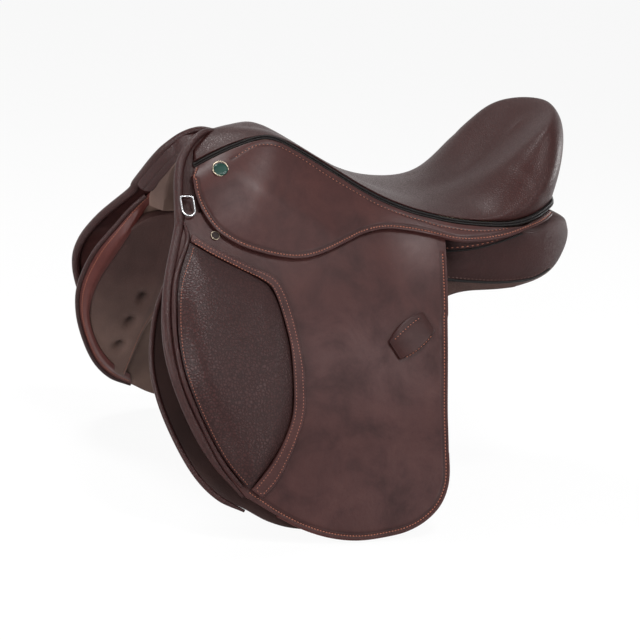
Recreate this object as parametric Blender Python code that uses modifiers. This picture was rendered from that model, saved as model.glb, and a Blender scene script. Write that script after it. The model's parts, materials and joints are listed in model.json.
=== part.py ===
"""All-purpose saddle, as an assembly of its separate pieces.

Metres, +Z up. -Y is forward, towards the horse's head. +X is the near (left)
side and X = 0 is the centre plane. The origin is on the centre plane at the
height of the seat's lowest point. Run it in Blender 4.5's text editor, or with
blender --background --python part.py
"""
import math

import bmesh
import bpy
from mathutils import Matrix, Vector

# Driving dimensions, in metres and degrees.
LEATHER = 0.0040               # flap and skirt leather
FLAP_LEATHER = 0.0045
SWEAT_LEATHER = 0.0035
COVER_LEATHER = 0.0022
FIT = 0.0004                   # gap kept between pieces that touch
LAYER = 0.0008                 # gap kept between curved layers
SEAT_FOAM = 0.0115
TREE_THICK = 0.0070
WEB_THICK = 0.0012
SEAT_SIDE = 0.070              # the flap's distance from the centre, at the seat's height
FLAP_REACH = 0.221             # how much further out it would end, far below
FLAP_CURVE = 0.217
SWEAT_OUT = 0.053              # the sweat flap's surface, out from that, SWEAT_LEVEL below
SWEAT_LEVEL = 0.1
SWEAT_SLOPE = 0.513
SWEAT_CURVE = 0.142
REAR_SPREAD = 3.9              # how the seat's width spreads both surfaces
REAR_SPREAD_DROP = 0.11
FLAP_ROLL = 0.0052             # radius of the roll on the flap's front edge
SWEAT_ROLL = 0.0044
WELT = 0.0030
FRONT_BULGE = 0.0215           # how far the knee rolls push the flap's front out
BULGE_PULL = (0.41, 0.29)      # how far that pulls the edge forward and up, as its shares

SIDES = (("l", 1), ("r", -1))


def spline(points, count):
    """Evenly spaced points on a smooth curve through the given ones."""
    points = [Vector(p) for p in points]
    padded = [2 * points[0] - points[1]] + points + [2 * points[-1] - points[-2]]
    dense = []
    for a, b, c, d in zip(padded, padded[1:], padded[2:], padded[3:]):
        for step in range(12):
            t = step / 12
            dense.append(0.5 * ((2 * b) + (c - a) * t + (2 * a - 5 * b + 4 * c - d) * t * t
                                + (3 * b - a - 3 * c + d) * t ** 3))
    dense.append(points[-1])
    lengths = [0.0]
    for a, b in zip(dense, dense[1:]):
        lengths.append(lengths[-1] + (b - a).length)
    result = []
    place = 0
    for i in range(count):
        target = lengths[-1] * i / (count - 1)
        while place < len(lengths) - 2 and lengths[place + 1] < target:
            place += 1
        span = lengths[place + 1] - lengths[place]
        share = (target - lengths[place]) / span if span else 0.0
        result.append(dense[place].lerp(dense[place + 1], share))
    return result


def profile(*points):
    """A smooth function of one value through (position, value) points."""
    def value(at):
        at = min(max(at, points[0][0]), points[-1][0])
        for i in range(len(points) - 1):
            (x0, y0), (x1, y1) = points[i], points[i + 1]
            if at <= x1:
                break
        before = points[max(i - 1, 0)]
        after = points[min(i + 2, len(points) - 1)]
        width = x1 - x0
        slope0 = (y1 - before[1]) / (x1 - before[0]) * width
        slope1 = (after[1] - y0) / (after[0] - x0) * width
        t = (at - x0) / width
        return ((2 * t ** 3 - 3 * t * t + 1) * y0 + (t ** 3 - 2 * t * t + t) * slope0
                + (3 * t * t - 2 * t ** 3) * y1 + (t ** 3 - t * t) * slope1)
    return value


def smoothstep(value, low, high):
    t = min(max((value - low) / (high - low), 0.0), 1.0)
    return t * t * (3 - 2 * t)


def material(name, colour, roughness, metallic=0.0):
    made = bpy.data.materials.new(name)
    made.use_nodes = True
    shader = made.node_tree.nodes["Principled BSDF"]
    shader.inputs["Base Color"].default_value = (*colour, 1.0)
    shader.inputs["Roughness"].default_value = roughness
    shader.inputs["Metallic"].default_value = metallic
    return made


def add_object(name, mesh, finish, collection="saddle"):
    item = bpy.data.objects.new(name, mesh)
    bpy.data.collections[collection].objects.link(item)
    item.data.materials.append(finish)
    return item


def mesh_from(bm, name, smooth=True):
    mesh = bpy.data.meshes.new(name)
    bm.to_mesh(mesh)
    bm.free()
    if smooth:
        mesh.shade_smooth()
        mesh.set_sharp_from_angle(angle=math.radians(50))
    return mesh


# The surfaces that the leather lies on.

def spread(y, z):
    """Extra width where the seat widens towards the cantle."""
    return REAR_SPREAD * max(y, 0.0) ** 2 * math.exp(z / REAR_SPREAD_DROP)


def front_bulge(y, z):
    """How far the flap stands out over the knee roll."""
    fore = smoothstep(-y, 0.150, 0.250)
    high = smoothstep(-z, 0.033, 0.105) * (1 - smoothstep(-z, 0.135, 0.245))
    return FRONT_BULGE * fore * high


def forward(points):
    """Move an outline's points to where they lie once the front bulges."""
    pull_y, pull_z = BULGE_PULL
    moved = []
    for y, z in points:
        out = front_bulge(y, z)
        moved.append((y - pull_y * out, z + pull_z * out))
    return moved


def flap_surface(y, z):
    plain = SEAT_SIDE + FLAP_REACH * (1 - math.exp(z / FLAP_CURVE))
    return plain + spread(y, z) + front_bulge(y, z)


def sweat_surface(y, z):
    below = z + SWEAT_LEVEL
    level = SEAT_SIDE + SWEAT_OUT
    return level - SWEAT_SLOPE * below - SWEAT_CURVE * below ** 2 + spread(y, z)


def widen(points):
    """Points whose first value is a share of the seat's half width."""
    return [(share * SEAT_SIDE, y, z) for share, y, z in points]


def on_surface(surface, y, z, offset=0.0):
    """The point at (y, z) on the near side, moved out along the normal."""
    step = 0.001
    slope_y = (surface(y + step, z) - surface(y - step, z)) / (2 * step)
    slope_z = (surface(y, z + step) - surface(y, z - step)) / (2 * step)
    normal = Vector((1.0, -slope_y, -slope_z)).normalized()
    return Vector((surface(y, z), y, z)) + normal * offset


def patch(top, bottom, front, rear):
    """A Coons patch between four edges; u runs to the rear and v runs up."""
    def edge(points):
        dense = spline(points, 65)

        def at(t):
            place = min(t * 64, 63.999)
            low = int(place)
            return dense[low].lerp(dense[low + 1], place - low)
        return at
    top, bottom, front, rear = edge(top), edge(bottom), edge(front), edge(rear)

    def point(u, v):
        down = 1 - v
        ruled = top(u) * v + bottom(u) * (1 - v)
        across = front(down) * (1 - u) + rear(down) * u
        corners = (top(0) * (1 - u) * v + top(1) * u * v
                   + bottom(0) * (1 - u) * (1 - v) + bottom(1) * u * (1 - v))
        return ruled + across - corners
    return point


def grid_mesh(name, point, across, up, side):
    """An open grid whose vertices are moved to point(u, v), facing outwards."""
    bm = bmesh.new()
    bmesh.ops.create_grid(bm, x_segments=across, y_segments=up, size=1.0)
    for vert in bm.verts:
        place = point((vert.co.x + 1) / 2, (vert.co.y + 1) / 2)
        vert.co = Vector((place.x * side, place.y, place.z))
    if side < 0:
        bmesh.ops.reverse_faces(bm, faces=bm.faces)
    return mesh_from(bm, name)


def sheet(name, point, across, up, thickness, finish, side, edge=0.0):
    """An open surface with a thickness added on its inner side."""
    item = add_object(name, grid_mesh(name, point, across, up, side), finish)
    solid = item.modifiers.new("thickness", "SOLIDIFY")
    solid.thickness = thickness
    solid.offset = -1.0
    if edge:
        rounded = item.modifiers.new("edge", "BEVEL")
        rounded.width = edge
        rounded.segments = 1
        rounded.limit_method = "ANGLE"
        rounded.angle_limit = math.radians(60)
    return item


def tube(name, points, radius, finish, sides=2, cyclic=False):
    """A round cord through the given points, with flat ends."""
    curve = bpy.data.curves.new(name, "CURVE")
    curve.dimensions = "3D"
    curve.bevel_depth = radius
    curve.bevel_resolution = sides
    curve.use_fill_caps = not cyclic
    line = curve.splines.new("POLY")
    line.points.add(len(points) - 1)
    for target, place in zip(line.points, points):
        target.co = (*place, 1.0)
    line.use_cyclic_u = cyclic
    return add_object(name, curve, finish)


def loft(name, rings, finish, side=1, smooth=True):
    """A closed body through rings of equal count, capped at both ends."""
    bm = bmesh.new()
    made = []
    for ring in rings:
        made.append([bm.verts.new((p[0] * side, p[1], p[2])) for p in ring])
    for a, b in zip(made, made[1:]):
        for i in range(len(a)):
            j = (i + 1) % len(a)
            bm.faces.new((a[i], a[j], b[j], b[i]))
    bm.faces.new(made[0])
    bm.faces.new(made[-1])
    bmesh.ops.recalc_face_normals(bm, faces=bm.faces)
    return add_object(name, mesh_from(bm, name, smooth), finish)


def upright(name, outline, depth, axis, finish, collection="saddle"):
    """A flat outline of full points, pushed along a world axis."""
    bm = bmesh.new()
    face = bm.faces.new([bm.verts.new(place) for place in outline])
    grown = bmesh.ops.extrude_face_region(bm, geom=[face])["geom"]
    moved = [v for v in grown if isinstance(v, bmesh.types.BMVert)]
    bmesh.ops.translate(bm, verts=moved, vec=Vector(axis) * depth)
    bmesh.ops.recalc_face_normals(bm, faces=bm.faces)
    return add_object(name, mesh_from(bm, name, False), finish, collection)


def cut(target, cutter):
    """Take the cutter's shape out of the target."""
    cutter.hide_render = True
    cutter.display_type = "WIRE"
    for group in list(cutter.users_collection):
        group.objects.unlink(cutter)
    bpy.data.collections["cutters"].objects.link(cutter)
    step = target.modifiers.new("cut", "BOOLEAN")
    step.operation = "DIFFERENCE"
    step.solver = "EXACT"
    step.object = cutter


# The seat, as ribs that run from the welt up and over to the centre line. Points that
# go through widen() give x as a share of the seat's half width, then y and z.

WELT_LINE = widen([
    (0.4857, -0.2050, 0.0360), (0.4929, -0.1848, 0.0474), (0.4786, -0.1615, 0.0582),
    (0.4786, -0.1310, 0.0686), (0.5286, -0.1110, 0.0682), (0.6071, -0.0863, 0.0573),
    (0.7571, -0.0457, 0.0360), (0.9000, -0.0170, 0.0204), (1.0429, 0.0119, 0.0074),
    (1.2000, 0.0400, -0.0012), (1.3357, 0.0633, -0.0055), (1.5000, 0.0917, -0.0087),
    (1.6929, 0.1343, -0.0085), (1.7357, 0.1633, -0.0050), (1.6714, 0.1870, 0.0020),
    (1.4429, 0.2110, 0.0105), (1.1000, 0.2255, 0.0115), (0.5714, 0.2410, 0.0080),
    (0.0000, 0.2470, 0.0060),
])
CENTRE_LINE = [
    (0.0, -0.2000, 0.0580), (0.0, -0.1780, 0.0665), (0.0, -0.1500, 0.0715),
    (0.0, -0.1200, 0.0690), (0.0, -0.0900, 0.0600), (0.0, -0.0500, 0.0400),
    (0.0, -0.0100, 0.0200), (0.0, 0.0250, 0.0055), (0.0, 0.0500, -0.0010),
    (0.0, 0.0750, -0.0025), (0.0, 0.1000, 0.0005), (0.0, 0.1220, 0.0070),
    (0.0, 0.1400, 0.0155), (0.0, 0.1560, 0.0265), (0.0, 0.1700, 0.0390),
    (0.0, 0.1820, 0.0520), (0.0, 0.1920, 0.0640), (0.0, 0.1990, 0.0735),
    (0.0, 0.2040, 0.0810),
]
# The rib's shoulder: how high it stands over the welt, how far the side bulges
# out and how far in the shoulder lies, by the welt's distance to the rear.
SHOULDER_RISE = profile((-0.205, 0.0060), (-0.130, 0.0030), (0.060, 0.0030), (0.100, 0.0035),
                        (0.130, 0.0090), (0.148, 0.0185), (0.165, 0.0340), (0.187, 0.0560),
                        (0.211, 0.0770), (0.2255, 0.0900), (0.241, 0.1030), (0.247, 0.1080))
SHOULDER_BULGE = profile((-0.205, 0.0010), (0.060, 0.0010), (0.130, 0.0020), (0.187, 0.0030),
                         (0.211, 0.0060), (0.2255, 0.0080), (0.241, 0.0100), (0.247, 0.0150))
SHOULDER_IN = profile((-0.205, 0.0060), (0.060, 0.0080), (0.100, 0.0130), (0.130, 0.0220),
                      (0.165, 0.0300), (0.187, 0.0300), (0.211, 0.0220), (0.2255, 0.0120),
                      (0.247, 0.0050))
SIDE_SHARE = profile((-0.205, 0.45), (0.130, 0.45), (0.187, 0.50), (0.2255, 0.64), (0.247, 0.70))


def seat_rib(t):
    """Five points of one rib: welt, side, shoulder, quarter and centre."""
    welt = SEAT_WELT_AT(t)
    centre = SEAT_CENTRE_AT(t)
    inward = Vector((centre.x - welt.x, centre.y - welt.y, 0.0)).normalized()
    rise = SHOULDER_RISE(welt.y)
    share = SIDE_SHARE(welt.y)
    side = welt - inward * SHOULDER_BULGE(welt.y) + Vector((0, 0, rise * share))
    shoulder = welt + inward * SHOULDER_IN(welt.y) + Vector((0, 0, rise))
    quarter = shoulder.lerp(centre, 0.45) + Vector((0, 0, 0.002 * (1 - t)))
    return [welt, side, shoulder, quarter, centre]


def line_function(points):
    dense = spline(points, 129)

    def at(t):
        place = min(max(t, 0.0) * 128, 127.999)
        low = int(place)
        return dense[low].lerp(dense[low + 1], place - low)
    return at


SEAT_WELT_AT = line_function(WELT_LINE)
SEAT_CENTRE_AT = line_function(CENTRE_LINE)


def on_rib(rib, v):
    """A point of a smooth curve whose given points lie at equal shares of v."""
    spans = len(rib) - 1
    place = min(max(v * spans, 0.0), spans - 0.00001)
    low = int(place)
    t = place - low
    a = rib[low - 1] if low else 2 * rib[0] - rib[1]
    b, c = rib[low], rib[low + 1]
    d = rib[low + 2] if low + 2 <= spans else 2 * rib[-1] - rib[-2]
    return 0.5 * ((2 * b) + (c - a) * t + (2 * a - 5 * b + 4 * c - d) * t * t
                  + (3 * b - a - 3 * c + d) * t ** 3)


def seat_layer(depth):
    """The seat's half surface, moved inwards: u to the rear, v from welt to centre."""
    def point(u, v):
        step = 0.006
        u0, u1 = max(u - step, 0.0), min(u + step, 1.0)
        v0, v1 = max(v - step, 0.0), min(v + step, 1.0)
        along = on_rib(seat_rib(u1), v) - on_rib(seat_rib(u0), v)
        rib = seat_rib(u)
        over = on_rib(rib, v1) - on_rib(rib, v0)
        normal = along.cross(over).normalized()
        middle = v > 0.999 or u > 0.999
        if middle:
            normal = Vector((0.0, normal.y, normal.z)).normalized()
        place = on_rib(rib, v) - normal * depth
        if middle:
            place.x = 0.0
        return place
    return point


def seat_shell(name, surface, thickness, across, up, finish):
    """One layer of the seat: half a surface, mirrored, then given its thickness."""
    item = add_object(name, grid_mesh(name, surface, across, up, 1), finish)
    mirror = item.modifiers.new("other half", "MIRROR")
    mirror.use_axis = (True, False, False)
    mirror.use_mirror_merge = True
    mirror.merge_threshold = 0.0001
    mirror.use_clip = True
    solid = item.modifiers.new("thickness", "SOLIDIFY")
    solid.thickness = thickness
    solid.offset = -1.0
    return item


def start_scene():
    for item in list(bpy.data.objects):
        bpy.data.objects.remove(item, do_unlink=True)
    for name in ("saddle", "cutters"):
        group = bpy.data.collections.new(name)
        bpy.context.scene.collection.children.link(group)


def make_finishes():
    return {
        "smooth": material("smooth_leather", (0.105, 0.040, 0.028), 0.45),
        "grained": material("grained_leather", (0.050, 0.022, 0.018), 0.50),
        "piping": material("black_piping", (0.010, 0.008, 0.008), 0.40),
        "suede": material("suede_leather", (0.150, 0.085, 0.062), 0.85),
        "lining": material("panel_leather", (0.090, 0.062, 0.050), 0.60),
        "steel": material("bright_steel", (0.62, 0.62, 0.60), 0.25, 1.0),
        "forged": material("forged_steel", (0.30, 0.30, 0.30), 0.40, 1.0),
        "foam": material("latex_foam", (0.72, 0.66, 0.50), 0.90),
        "tree": material("tree_laminate", (0.30, 0.20, 0.12), 0.60),
        "webbing": material("webbing", (0.60, 0.56, 0.46), 0.90),
        "enamel": material("green_enamel", (0.010, 0.110, 0.070), 0.20),
    }


# The seat and what it is built on.

TREE_EDGE_AT = line_function(widen([
    (0.8571, -0.1960, -0.0300), (0.9714, -0.1500, -0.0320), (0.9571, -0.1100, -0.0290),
    (0.8857, -0.0600, -0.0230), (0.9143, -0.0150, -0.0190), (1.0286, 0.0300, -0.0195),
    (1.1286, 0.0750, -0.0205), (1.2357, 0.1150, -0.0175), (1.3143, 0.1550, -0.0080),
    (1.2714, 0.1880, 0.0020), (1.0000, 0.2080, 0.0060), (0.5714, 0.2180, 0.0060),
    (0.0000, 0.2220, 0.0050),
]))
WEB_DEPTH = COVER_LEATHER + LAYER + SEAT_FOAM + LAYER
TREE_SLACK = 0.0020
TREE_DEPTH = WEB_DEPTH + WEB_THICK + TREE_SLACK
CANTLE_DEPTH = 0.0050          # how much deeper the tree lies inside the cantle
TREE_START = 0.012
WAIST_OPEN = 0.55              # the share of each rib left open along the waist
SEAT_STATIONS = 24
SHOULDER = 0.5                 # the share of a rib at which its shoulder lies
WEB_FIRST, WEB_LAST = 4, 17    # the stations between which the strained web runs


def tree_surface(u, v):
    """The tree's outer face: its ribs leave the seat's line and run down to its edge."""
    t = TREE_START + (1 - TREE_START) * u
    layer = seat_layer(TREE_DEPTH + CANTLE_DEPTH * smoothstep(t, 0.62, 0.85))
    edge = TREE_EDGE_AT(t)
    top = [layer(t, share) for share in (0.66, 0.75, 0.875, 1.0)]
    waist = smoothstep(u, 0.22, 0.32) * (1 - smoothstep(u, 0.66, 0.76))
    return on_rib([edge, edge.lerp(top[0], 0.5)] + top, v * (1 - WAIST_OPEN * waist))


def make_seat(finish):
    cover = seat_layer(0.0)
    seat_shell("seat_cover", cover, COVER_LEATHER, SEAT_STATIONS, 8, finish["grained"])
    layer = seat_layer(COVER_LEATHER + LAYER)

    def foam(u, v):
        return layer(u, SHOULDER + (1 - SHOULDER) * v)
    seat_shell("seat_foam", foam, SEAT_FOAM, SEAT_STATIONS, 4, finish["foam"])
    seat_shell("tree", tree_surface, TREE_THICK, 18, 5, finish["tree"])


def seat_web(finish):
    """A strained web from the head to the cantle, down the middle of the tree."""
    surface = seat_layer(WEB_DEPTH)

    def half(u, v):
        station = WEB_FIRST + (WEB_LAST - WEB_FIRST) * u
        return surface(station / SEAT_STATIONS, 1 - (1 - SHOULDER) / 2 * (1 - v))
    seat_shell("seat_web", half, WEB_THICK, WEB_LAST - WEB_FIRST, 2, finish["webbing"])


HEAD_FACE = -0.2012
PLATE_THICK = 0.0025
PLATE_STEPS = 9                # points along each half of its edge


def head_plate(finish):
    """The steel arch across the front of the tree's head."""
    outer = widen([(0.8714, 0.0, -0.0360), (0.8071, 0.0, -0.0120), (0.6714, 0.0, 0.0120),
                   (0.4714, 0.0, 0.0300), (0.2286, 0.0, 0.0395), (0.0000, 0.0, 0.0415)])
    inner = widen([(0.6857, 0.0, -0.0360), (0.6143, 0.0, -0.0140), (0.4929, 0.0, 0.0040),
                   (0.3429, 0.0, 0.0175), (0.1571, 0.0, 0.0250), (0.0000, 0.0, 0.0265)])
    half = [(p.x, p.z) for p in spline(outer, PLATE_STEPS)]
    back = [(p.x, p.z) for p in reversed(spline(inner, PLATE_STEPS))]
    loop = (half + [(-x, z) for x, z in reversed(half[:-1])]
            + [(-x, z) for x, z in reversed(back[1:])] + back)
    outline = [(x, HEAD_FACE - PLATE_THICK, z) for x, z in loop]
    upright("head_plate", outline, PLATE_THICK, (0, 1, 0), finish["forged"])


# The skirt: its upper edge runs along the welt, its lower edge over the flap.

SKIRT_GAP = 0.0010
SKIRT_LOWER = [
    (-0.2110, 0.0210), (-0.2115, 0.0020), (-0.2057, -0.0140), (-0.1940, -0.0290),
    (-0.1710, -0.0420), (-0.1420, -0.0500), (-0.1130, -0.0540), (-0.0900, -0.0530),
    (-0.0660, -0.0470), (-0.0380, -0.0370), (-0.0190, -0.0305), (0.0080, -0.0260),
    (0.0350, -0.0265), (0.0600, -0.0285), (0.0900, -0.0310), (0.1200, -0.0285),
    (0.1500, -0.0225), (0.1760, -0.0150), (0.1940, -0.0100), (0.2020, -0.0080),
]
# The skirt's half width behind the flap, as a share of the seat's, by y.
BAND_WIDTH = profile((0.06, 1.6571), (0.09, 1.8214), (0.12, 1.8929), (0.15, 1.9000),
                     (0.18, 1.8071), (0.21, 1.5714))
BAND_START = 0.08
SKIRT_BULGE = 0.035             # how far the skirt swells, as a share of its depth


def skirt_lower_edge():
    edge = []
    for y, z in SKIRT_LOWER:
        place = on_surface(flap_surface, y, z, SKIRT_GAP + LEATHER)
        if y > BAND_START:
            place.x = SEAT_SIDE * BAND_WIDTH(y)
        edge.append(place)
    return edge


def skirt_upper_edge():
    edge = []
    for x, y, z in WELT_LINE[:-4]:
        drop = 2 * WELT + 0.0016 + 0.0022 * smoothstep(y, 0.12, 0.17)
        edge.append(Vector((x + 0.0045, y, z - drop)))
    edge.append(Vector((0.1185, 0.1990, -0.0050)))
    return edge


SKIRT_LOWER_AT = line_function(skirt_lower_edge())
SKIRT_UPPER_AT = line_function(skirt_upper_edge())


def skirt_surface(u, v):
    """The skirt's outer face: u to the rear, v from the lower edge to the welt."""
    low = SKIRT_LOWER_AT(u)
    high = SKIRT_UPPER_AT(u)
    middle = low.lerp(high, v)
    depth = (high - low).length
    bulge = SKIRT_BULGE * depth * math.sin(math.pi * v) * (1 if middle.y < 0.06 else 0.6)
    return middle + Vector((0.80, 0.0, 0.60)) * bulge


def split_share(u, start, end):
    """The share v at which the skirt's rib u crosses the fold line, seen from the side."""
    def over(v):
        place = skirt_surface(u, v)
        line = start[1] + (end[1] - start[1]) * (place.y - start[0]) / (end[0] - start[0])
        return place.z - line
    if over(0.0) >= 0.0:
        return 0.0
    low, high = 0.0, 1.0
    for _ in range(30):
        middle = (low + high) / 2
        if over(middle) < 0:
            low = middle
        else:
            high = middle
    return low


# The fold lines, as (y, z) seen from the side.
SKIRT_FOLD = ((-0.2120, 0.0130), (0.0060, -0.0262))
FLAP_FOLD = ((-0.2290, -0.0296), (0.0685, -0.1040))
FOLD_GAP = 0.0004
LOBE_TIP = 0.0020               # the lobe's least height, at its two ends


def flap_fold_z(y):
    (y0, z0), (y1, z1) = FLAP_FOLD
    return z0 + (z1 - z0) * (y - y0) / (y1 - y0)


def make_skirt(finish, tag, side):
    ends = []
    for i in range(201):
        rib = (skirt_surface(i / 200, 0) - skirt_surface(i / 200, 1)).length
        if split_share(i / 200, *SKIRT_FOLD) * rib > LOBE_TIP:
            ends.append(i / 200)
    first, last = ends[0], ends[-1]

    def lobe(u, v):
        at = first + (last - first) * u
        top = split_share(at, *SKIRT_FOLD)
        rib = (skirt_surface(at, 0) - skirt_surface(at, 1)).length
        return skirt_surface(at, max(top - FOLD_GAP / rib, 0.0) * v)

    def band(u, v):
        low = split_share(u, *SKIRT_FOLD)
        rib = (skirt_surface(u, 0) - skirt_surface(u, 1)).length
        if low > 0:
            low = low + FOLD_GAP / rib
        return skirt_surface(u, low + (1 - low) * v)
    sheet("skirt_" + tag, lobe, 16, 4, LEATHER, finish["smooth"], side)
    sheet("skirt_band_" + tag, band, 30, 3, LEATHER, finish["smooth"], side)


# The flap, from under the skirt down to its beaded edge.

FLAP_FRONT = [(-0.2295, -0.0290), (-0.2470, -0.0740), (-0.2530, -0.1170), (-0.2500, -0.1600),
              (-0.2350, -0.2040), (-0.2110, -0.2500), (-0.1800, -0.2880)]
FLAP_BOTTOM = [(-0.1800, -0.2880), (-0.1440, -0.3110), (-0.1110, -0.3270), (-0.0780, -0.3370),
               (-0.0440, -0.3405), (-0.0050, -0.3365), (0.0160, -0.3310), (0.0340, -0.3215),
               (0.0485, -0.3080), (0.0570, -0.2920), (0.0605, -0.2740)]
FLAP_REAR = [(0.0665, -0.1170), (0.0605, -0.1940), (0.0600, -0.2400), (0.0605, -0.2740)]


def flat(points):
    return [(y, z, 0.0) for y, z in points]


def make_flap(finish, tag, side):
    top = [(y, flap_fold_z(y) - FOLD_GAP) for y in (-0.2290, -0.1500, -0.0500, 0.0680)]
    front = [top[0]] + forward(FLAP_FRONT[1:])
    rear = [top[-1]] + FLAP_REAR
    shape = patch(flat(top), flat(FLAP_BOTTOM), flat(front), flat(rear))

    def lower(u, v):
        place = shape(u, v)
        return on_surface(flap_surface, place.x, place.y)
    sheet("flap_" + tag, lower, 15, 12, FLAP_LEATHER, finish["smooth"], side)
    top = [(-0.2262, -0.0085), (-0.1900, -0.0140), (-0.1500, -0.0260), (-0.1200, -0.0330),
           (-0.0700, -0.0345), (-0.0250, -0.0305), (0.0200, -0.0225), (0.0500, -0.0245),
           (0.0760, -0.0280)]
    fold = [(y, flap_fold_z(y) + FOLD_GAP) for y in (-0.2293, -0.1500, -0.0500, 0.0685)]
    front = [top[0], (-0.2280, -0.0180), fold[0]]
    rear = [top[-1], (0.0725, -0.0650), fold[-1]]
    upper_shape = patch(flat(top), flat(fold), flat(front), flat(rear))

    def upper(u, v):
        place = upper_shape(u, v)
        return on_surface(flap_surface, place.x, place.y)
    sheet("flap_top_" + tag, upper, 14, 4, FLAP_LEATHER, finish["smooth"], side)


def domed(name, shape, surface, low, height, across, up, finish, side):
    """A padded piece: flat on a surface, crowned on its outer face."""
    rows = []
    for j in range(up + 1):
        row = []
        for i in range(across + 1):
            place = shape(i / across, j / up)
            row.append((place.x, place.y, i / across, j / up))
        rows.append(row)
    bm = bmesh.new()
    lower = []
    upper = []
    for row in rows:
        lower.append([bm.verts.new(on_surface(surface, y, z, low)) for y, z, _, _ in row])
        upper.append([bm.verts.new(on_surface(surface, y, z, low + height(u, v, y, z)))
                      for y, z, u, v in row])
    for grid, flip in ((lower, True), (upper, False)):
        for j in range(up):
            for i in range(across):
                quad = [grid[j][i], grid[j][i + 1], grid[j + 1][i + 1], grid[j + 1][i]]
                bm.faces.new(list(reversed(quad)) if flip else quad)
    rim = ([(0, i) for i in range(across)] + [(j, across) for j in range(up)]
           + [(up, i) for i in range(across, 0, -1)] + [(j, 0) for j in range(up, 0, -1)])
    for here, there in zip(rim, rim[1:] + rim[:1]):
        a, b = lower[here[0]][here[1]], lower[there[0]][there[1]]
        c, d = upper[there[0]][there[1]], upper[here[0]][here[1]]
        bm.faces.new((a, b, c, d))
    if side < 0:
        for vert in bm.verts:
            vert.co.x = -vert.co.x
    bmesh.ops.recalc_face_normals(bm, faces=bm.faces)
    return add_object(name, mesh_from(bm, name), finish)


KNEE_TOP = [(-0.2270, -0.0400), (-0.2020, -0.0530), (-0.1750, -0.0645), (-0.1520, -0.0740),
            (-0.1410, -0.0810)]
KNEE_REAR = [(-0.1410, -0.0810), (-0.1355, -0.0930), (-0.1265, -0.1320), (-0.1250, -0.1630),
             (-0.1270, -0.2010), (-0.1360, -0.2260), (-0.1530, -0.2540), (-0.1770, -0.2810)]
KNEE_FRONT = [(-0.2270, -0.0400), (-0.2440, -0.0780), (-0.2495, -0.1170), (-0.2465, -0.1590),
              (-0.2320, -0.2020), (-0.2080, -0.2480), (-0.1830, -0.2775)]
KNEE_CROWN = 0.0110
KNEE_EDGE = 0.0025
PAD_LIFT = 0.0010
FACING_THICK = 0.0022
FACING_GAP = 0.0012
FACING_OUTER = [(-0.2240, -0.0320), (-0.1990, -0.0460), (-0.1600, -0.0620), (-0.1340, -0.0730),
                (-0.1210, -0.0990), (-0.1120, -0.1490), (-0.1110, -0.1710), (-0.1150, -0.2120),
                (-0.1420, -0.2680), (-0.1640, -0.2910)]


def crown(power):
    def height(u, v):
        return ((1 - abs(2 * u - 1) ** power) * (1 - abs(2 * v - 1) ** power)) ** 0.5
    return height


def make_knee_pad(finish, tag, side):
    bottom = [forward(KNEE_FRONT)[-1], (-0.1800, -0.2800), forward(KNEE_REAR)[-1]]
    top = flat(forward(KNEE_TOP))
    rear = flat(forward(KNEE_REAR))
    shape = patch(top, flat(bottom), flat(forward(KNEE_FRONT)), rear)
    swell = crown(3)

    def height(u, v, y, z):
        return KNEE_EDGE + KNEE_CROWN * swell(u, v)
    domed("knee_pad_" + tag, shape, flap_surface, PAD_LIFT, height, 8, 14, finish["grained"], side)
    inner = spline(top, 12) + spline(rear, 24)[1:]
    count = len(inner)
    outer = spline(flat(forward(FACING_OUTER)), count)

    def strip(u, v):
        at = min(u * (count - 1), count - 1.001)
        low = int(at)
        a = inner[low].lerp(inner[low + 1], at - low)
        b = outer[low].lerp(outer[low + 1], at - low)
        clear = a + (b - a).normalized() * FACING_GAP
        place = clear.lerp(b, v)
        return on_surface(flap_surface, place.x, place.y, LAYER + FACING_THICK)
    sheet("knee_pad_facing_" + tag, strip, 22, 1, FACING_THICK, finish["smooth"], side)


def make_rolls(finish, tag, side):
    """The corded edge of the flap: its fixed part at the pommel and its moving part."""
    fixed = widen([(0.0171, -0.2085, 0.0565), (0.1857, -0.2110, 0.0515),
                   (0.3857, -0.2185, 0.0395), (0.6571, -0.2255, 0.0205),
                   (0.9714, -0.2305, -0.0010), (1.2143, -0.2338, -0.0175)])
    fixed.append(tuple(roll_place(-0.2364, -0.0266)))
    line = spline(fixed, 14)
    line[1] = Vector((line[1].x, line[0].y, line[0].z))
    tube("pommel_roll_" + tag, [(p.x * side, p.y, p.z) for p in line], FLAP_ROLL,
         finish["grained"])
    route = [(-0.2369, -0.0286), (-0.2530, -0.0740), (-0.2600, -0.1180), (-0.2575, -0.1560),
             (-0.2430, -0.2060), (-0.2190, -0.2540), (-0.1870, -0.2925)]
    line = [roll_place(p.x, p.y) for p in spline(flat(forward(route)), 20)]
    tube("flap_roll_" + tag, [(p.x * side, p.y, p.z) for p in line], FLAP_ROLL,
         finish["grained"])


def roll_place(y, z):
    return on_surface(flap_surface, y, z, -FLAP_LEATHER)


# The keeper on the flap.

KEEPER_CENTRE = (0.0218, -0.1290)
KEEPER_LENGTH = 0.0530
KEEPER_WIDTH = 0.0310
KEEPER_GAP = 0.0030
KEEPER_THICK = 0.0025


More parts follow.
